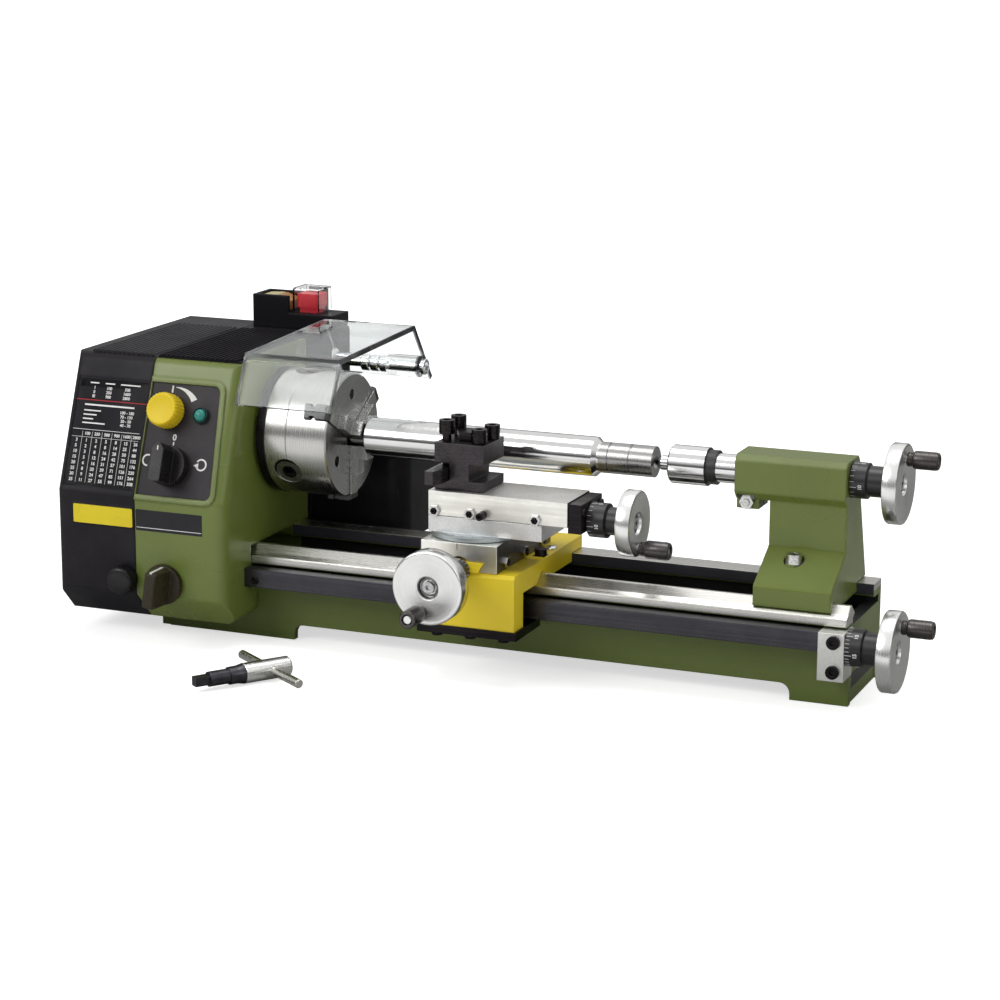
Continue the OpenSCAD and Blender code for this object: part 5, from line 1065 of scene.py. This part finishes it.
# Leadscrew cover
# Black anodised angle over the leadscrew, screwed to the front of the bed.
# It has drawn lines along it and a fine tick scale near its lower edge.
bar_black = cut((0.078, 0.076, 0.086, 1), (0.060, 0.058, 0.067, 1), 0.26, 0.4, stretch=(8.0, 1500.0, 1500.0))
wear(dress("cover_anodised", bar_black, edge=0.0007), "leadscrew_cover")
faint = dress("tick_grey", cast((0.075, 0.075, 0.085, 1), (0.09, 0.09, 0.10, 1), 0.4, 0.5), edge=0.0001)
attach("bar_scale", "base", None, grown(scale_tree, {
    "Count": 171, "Every": 10, "Step": 0.0, "Radius": 0.0, "Pitch": (2.0, 0, 0), "Short": (0.25, 0.06, 1.0),
    "Long": (0.3, 0.06, 1.7), "Anchor": (0, 0, 0.5), "Material": faint}, at(70, -51.02, 35.7)))
screws("cover_screw_head", "base", facing_front @ at(0, 0, 50.9), [(68, 39.6, 0)], (2.6, 0.9, 0.5, 1.2, 0.7), blacked)

# Saddle
# Yellow enamelled casting that rides on both ways, with its black clamp plate screwed on underneath.
# A small chromed plate closes the oil hole on its right wing.
wear(dress("saddle_enamel", coat((0.86, 0.66, 0.026, 1), (0.80, 0.61, 0.022, 1), 0.34, 0.46, peel=0.00003),
           (oxide, [((0.2368, -0.0265, 0.0652), (0.2444, -0.0180, 0.0760))]), edge=0.0008), "saddle")
attach("oval_plate", "saddle_body", dress("plate_chrome", cut((0.7, 0.7, 0.7, 1), (0.64, 0.64, 0.64, 1), 0.08, 0.16),
                                          edge=0.0004),
       joined([turned_shape([(0, 0.6), (0, 4.4), (0.5, 4.6), (0.9, 4.2), (1.1, 3.4), (1.2, 0.6)],
                            at(240.4, -4, 65.9) @ Matrix.Diagonal((0.62, 1, 1, 1)), 48)]))
wear(blacked, "clamp_plate")
screws("clamp_screws", "saddle_body", Matrix.Rotation(math.pi, 4, "X") @ at(0, 68.5, -28.2),
       [(195, 0, 0), (215.7, 0, 0), (236.4, 0, 0)], (3.5, 2.9, 0.3, 1.9, 1.6), blacked)

# Cross slide
# Ground steel slide on its dovetail, set with three black screws in bright lock nuts.
# A short line on its front face is the index of the swivel scale.
across_marks = cut((0.90, 0.89, 0.84, 1), (0.84, 0.83, 0.78, 1), 0.3, 0.36, (2400.0, 2400.0, 120.0), 0.000005)
wear(dress("cross_slide_steel", across_marks, (oxide, [((0.2345, -0.0700, 0.0670), (0.2370, 0.0100, 0.0735))]),
           # Its right side face is painted dark grey: painted shade.
           (cut((0.13, 0.125, 0.125, 1), (0.08, 0.077, 0.08, 1), 0.3, 0.42, fine_grain),
            [((0.2341, -0.0742, 0.0620), (0.23445, 0.0101, 0.0826))]), edge=0.0005), "cross_slide")
nut_bright = dress("nut_bright", cut((0.64, 0.64, 0.63, 1), (0.5, 0.5, 0.49, 1), 0.16, 0.3, fine_grain), edge=0.0003)
facing_side = at(234.3, 0, 0) @ facing_right
side_spots = [(y, 70.3, 0) for y in (-60.5, -32.5, -4.5)]
screws("cross_nuts", "cross_slide_body", facing_side, side_spots, (3.6, 1.8, 0.25, 2.2, 0.3), nut_bright, 6)
screws("cross_set_screws", "cross_slide_body", facing_side, side_spots, (1.7, 2.3, 0.25, 0.9, 1.2), blacked)
dark_line = dress("engraved_line", cast((0.02, 0.02, 0.02, 1), (0.03, 0.03, 0.03, 1), 0.5, 0.6), edge=0.0001)
attach("swivel_index", "cross_slide_body", dark_line, joined([
    prism(block(209.6, 78.2, 210.0, 82.0), 74.48, 74.53, facing_front)]))

# Swivel base
# Sand-textured sides under a ground dovetail.
# Its round foot is clamped on the cross slide and graduated in degrees all the way round.
satin = cut((0.86, 0.86, 0.85, 1), (0.64, 0.64, 0.64, 1), 0.34, 0.5, stretch=(1500.0, 1500.0, 1500.0), depth=0.00005)
disc_turned = spun((0.44, 0.48, 0.49, 1), (0.36, 0.40, 0.41, 1), (0.2109, -0.046, 0), (1, 1, 0), 0.42, 0.55)
wear(dress("swivel_steel", satin, (disc_turned, [((0.18, -0.08, 0.08), (0.24, -0.01, 0.08508))]), edge=0.0004),
     "swivel_base")
upward = axes((0, 0, 1), (1, 0, 0), (0, 1, 0), (210.9, -46, 0))
attach("swivel_degrees", "swivel_body", None, grown(scale_tree, {
    "Count": 120, "Every": 5, "Start": 0.0, "Step": math.radians(3), "Radius": 26.95, "Short": (0.05, 3.0, 0.45),
    "Long": (0.05, 4.6, 0.5), "Anchor": (0, -0.5, 0), "Material": dark_line}, upward @ at(85.07, 0, 0)))

# Top slide
# Ground steel slide. Three black set screws in bright lock nuts adjust its gib, and a plain black
# one locks it. A black end bracket carries the feed screw.
along_marks = cut((0.84, 0.83, 0.78, 1), (0.75, 0.74, 0.69, 1), 0.26, 0.38, stretch=(26.0, 1200.0, 500.0))
wear(dress("top_slide_steel", along_marks, (oxide, [((0.27275, -0.07, 0.08), (0.2815, -0.02, 0.12)),
                                                    ((0.1960, -0.0520, 0.1360), (0.2130, -0.0360, 0.1480)),
                                                    ((0.18, -0.0700, 0.094), (0.26, -0.06397, 0.10))]),
           (cut((0.56, 0.55, 0.53, 1), (0.44, 0.43, 0.42, 1), 0.38, 0.5, fine_grain, 0.00004),
            [((0.18, -0.0655, 0.1088), (0.2727, -0.0280, 0.1102))]), edge=0.0005), "top_slide")
front_spots = [(191.5, 97.3, 0), (213.5, 97.3, 0), (253.5, 97.3, 0)]
gib_side = facing_front @ at(0, 0, 63.9)
screws("gib_nuts", "top_slide_body", gib_side, front_spots, (3.7, 2.0, 0.3, 2.2, 0.3), nut_bright, 6)
screws("gib_screws", "top_slide_body", gib_side, front_spots, (1.65, 3.0, 0.25, 0.9, 1.2), blacked)
screws("slide_lock", "top_slide_body", gib_side, [(221.5, 97.4, 0)], (2.5, 6.2, 0.3, 1.4, 1.6), blacked)
screws("bracket_screws", "top_slide_body", at(280.7, 0, 0) @ facing_right, [(-60.2, 103.5, 0), (-32.2, 103.5, 0)],
       (2.4, 1.6, 0.25, 1.3, 1.1), blacked)
top_place = at(0, -46.2, 96.75)
feed_screw("top_screw", (0, -0.0462, 0.09675), (0, 1, 1), ((0.2810, -0.07, 0.08), (0.3009, -0.02, 0.12)))
hand_wheel("top", "top_screw_body", top_place @ facing_right @ at(0, 0, 300.75), 38, 9, -90)
drum_scale("top_scale", "top_screw_body", top_place, 281.4, 10.0, 20, twenty)

# Cross feed
# The steel screw of the cross slide, with a black dial and a handwheel at the front.
# Its wheel's face is painted brighter than those of the other three, as painted light, and its dial stands close to the
# saddle.
cross_place = at(210.9, 0, 66.51)
feed_screw("cross_screw", (0.2109, 0, 0.0665), (1, 0, 1), ((0.19, -0.1085, 0.05), (0.23, -0.0757, 0.09)))
# Its face takes the brighter wheel tone: painted light.
hand_wheel("cross", "cross_screw_body", cross_place @ facing_front @ at(0, 0, 108.95), 42.4, 11, -106, (1, 0, 1),
           wheel_bright)
along_y = axes((0, -1, 0), (1, 0, 0), (0, 0, -1))
drum_scale("cross_scale", "cross_screw_body", cross_place @ along_y, 76.1, 7.4, 20, twenty)

# Tool post
# Block of black-oxide steel with a slot on each side, clamped by its centre nut.
# Four cap screws hold the tool bit, which is ground steel.
post_oxide = cut((0.060, 0.054, 0.058, 1), (0.042, 0.038, 0.041, 1), 0.3, 0.42, stretch=(400.0, 400.0, 1100.0))
wear(dress("tool_post_oxide", post_oxide, edge=0.0008), "tool_post")
wear(dress("post_screw_oxide", cut((0.030, 0.026, 0.027, 1), (0.016, 0.014, 0.015, 1), 0.22, 0.36,
                                   fine_grain), edge=0.0004), "post_screws")
wear(dress("tool_steel", cut((0.062, 0.056, 0.058, 1), (0.040, 0.036, 0.038, 1), 0.26, 0.38,
                             stretch=(1200.0, 30.0, 1200.0)), edge=0.0004), "tool_bit")

# Tailstock
# Green casting on the ways. A bright hexagon bolt clamps the quill in the split ear,
# and a socket bolt in the sloping foot holds the casting on the bed.
wear(dress("tailstock_enamel", coat(olive_front, olive_deep, 0.22, 0.3),
           (cut((0.66, 0.66, 0.64, 1), (0.5, 0.5, 0.49, 1), 0.16, 0.3, fine_grain),
            [((0.3560, -0.0130, 0.1015), (0.3670, -0.0091, 0.1120))]), edge=0.0022), "tailstock")
ledge = [(-10.45, 83.0), (-11.3, 81.95), (-38.05, 66.68), (-39.62, 65.1), (-39.3, 64.7), (-37.8, 66.2),
         (-10.45, 81.6)]
attach("tail_ledge", "tailstock_body",
       dress("ledge_enamel", coat(olive_front, olive_deep, 0.3, 0.4, gleam=0.1), edge=0.0006),
       joined([prism(ledge, 374.88, 420.0, facing_right)]))
# A thin black disc under the foot bolt shows as a dark ring round its head: painted shade.
foot_place = axes((1, 0, 0), (0, 0.871, 0.491), (0, -0.491, 0.871), (392.5, -19, 77.35))
attach("foot_bolt_painted_shade", "tailstock_body", blacked, joined([turned_shape(
    [(-0.3, 6.1), (0.12, 6.1), (0.2, 5.9), (0.2, 0.5)], foot_place, 48)]))
screws("foot_bolt", "tailstock_body", at(392.5, -19, 75.8), [(0, 0, 0)], (4.9, 5.4, 0.4, 2.5, 2.6), nut_bright)
screws("ear_bolt", "tailstock_body", facing_front @ at(0, 0, 9.9), [(361.5, 106.7, 0)],
       (4.7, 2.6, 0.4, 2.2, 0.25), nut_bright, 6)
screws("ear_bolt_end", "tailstock_body", facing_front @ at(0, 0, 9.9), [(361.5, 106.7, 0)],
       (2.3, 3.8, 0.4, 0.5, 0.2), nut_bright)
tail_place = at(0, 0, 122.6)
feed_screw("tail_screw", spindle_centre, (0, 1, 1), ((0.4202, -0.02, 0.10), (0.4416, 0.02, 0.15)))
hand_wheel("tail", "tail_screw_body", tail_place @ facing_right @ at(0, 0, 441.45), 46, 9, 90)
drum_scale("tail_scale", "tail_screw_body", tail_place, 420.6, 10.3, 20, twenty)

# Chuck key
# Turned steel body on a blacked shank with a square end.
# A steel bar slides through the body and turns it.
key_grain = (300.0, 300.0, 300.0)
key_oxide = cut((0.060, 0.058, 0.066, 1), (0.040, 0.038, 0.044, 1), 0.3, 0.42, key_grain)
wear(dress("key_steel", cut((0.78, 0.78, 0.76, 1), (0.70, 0.70, 0.68, 1), 0.16, 0.28, key_grain),
           (key_oxide, [((0.0804, -0.1513, 0.0), (1, 1, 0), -1.0, 0.0310)]), edge=0.0006), "chuck_key")
key_place = at(80.4, -151.3, 6) @ Matrix.Rotation(math.radians(54.7), 4, "Z") @ Matrix.Rotation(math.pi / 2, 4, "Y")
attach("key_collar", "key_body", dress("key_blacked", key_oxide, edge=0.0005), joined([turned_shape(
    [(21.5, 3.9), (21.5, 4.9), (21.9, 5.2), (27.0, 5.2), (30.9, 5.98), (30.9, 3.9), (21.5, 3.9)], key_place, 48)]))
wear(dress("key_bar_steel", cut((0.66, 0.65, 0.62, 1), (0.56, 0.55, 0.52, 1), 0.2, 0.32, (500.0, 500.0, 500.0)),
           edge=0.0004), "key_bar")
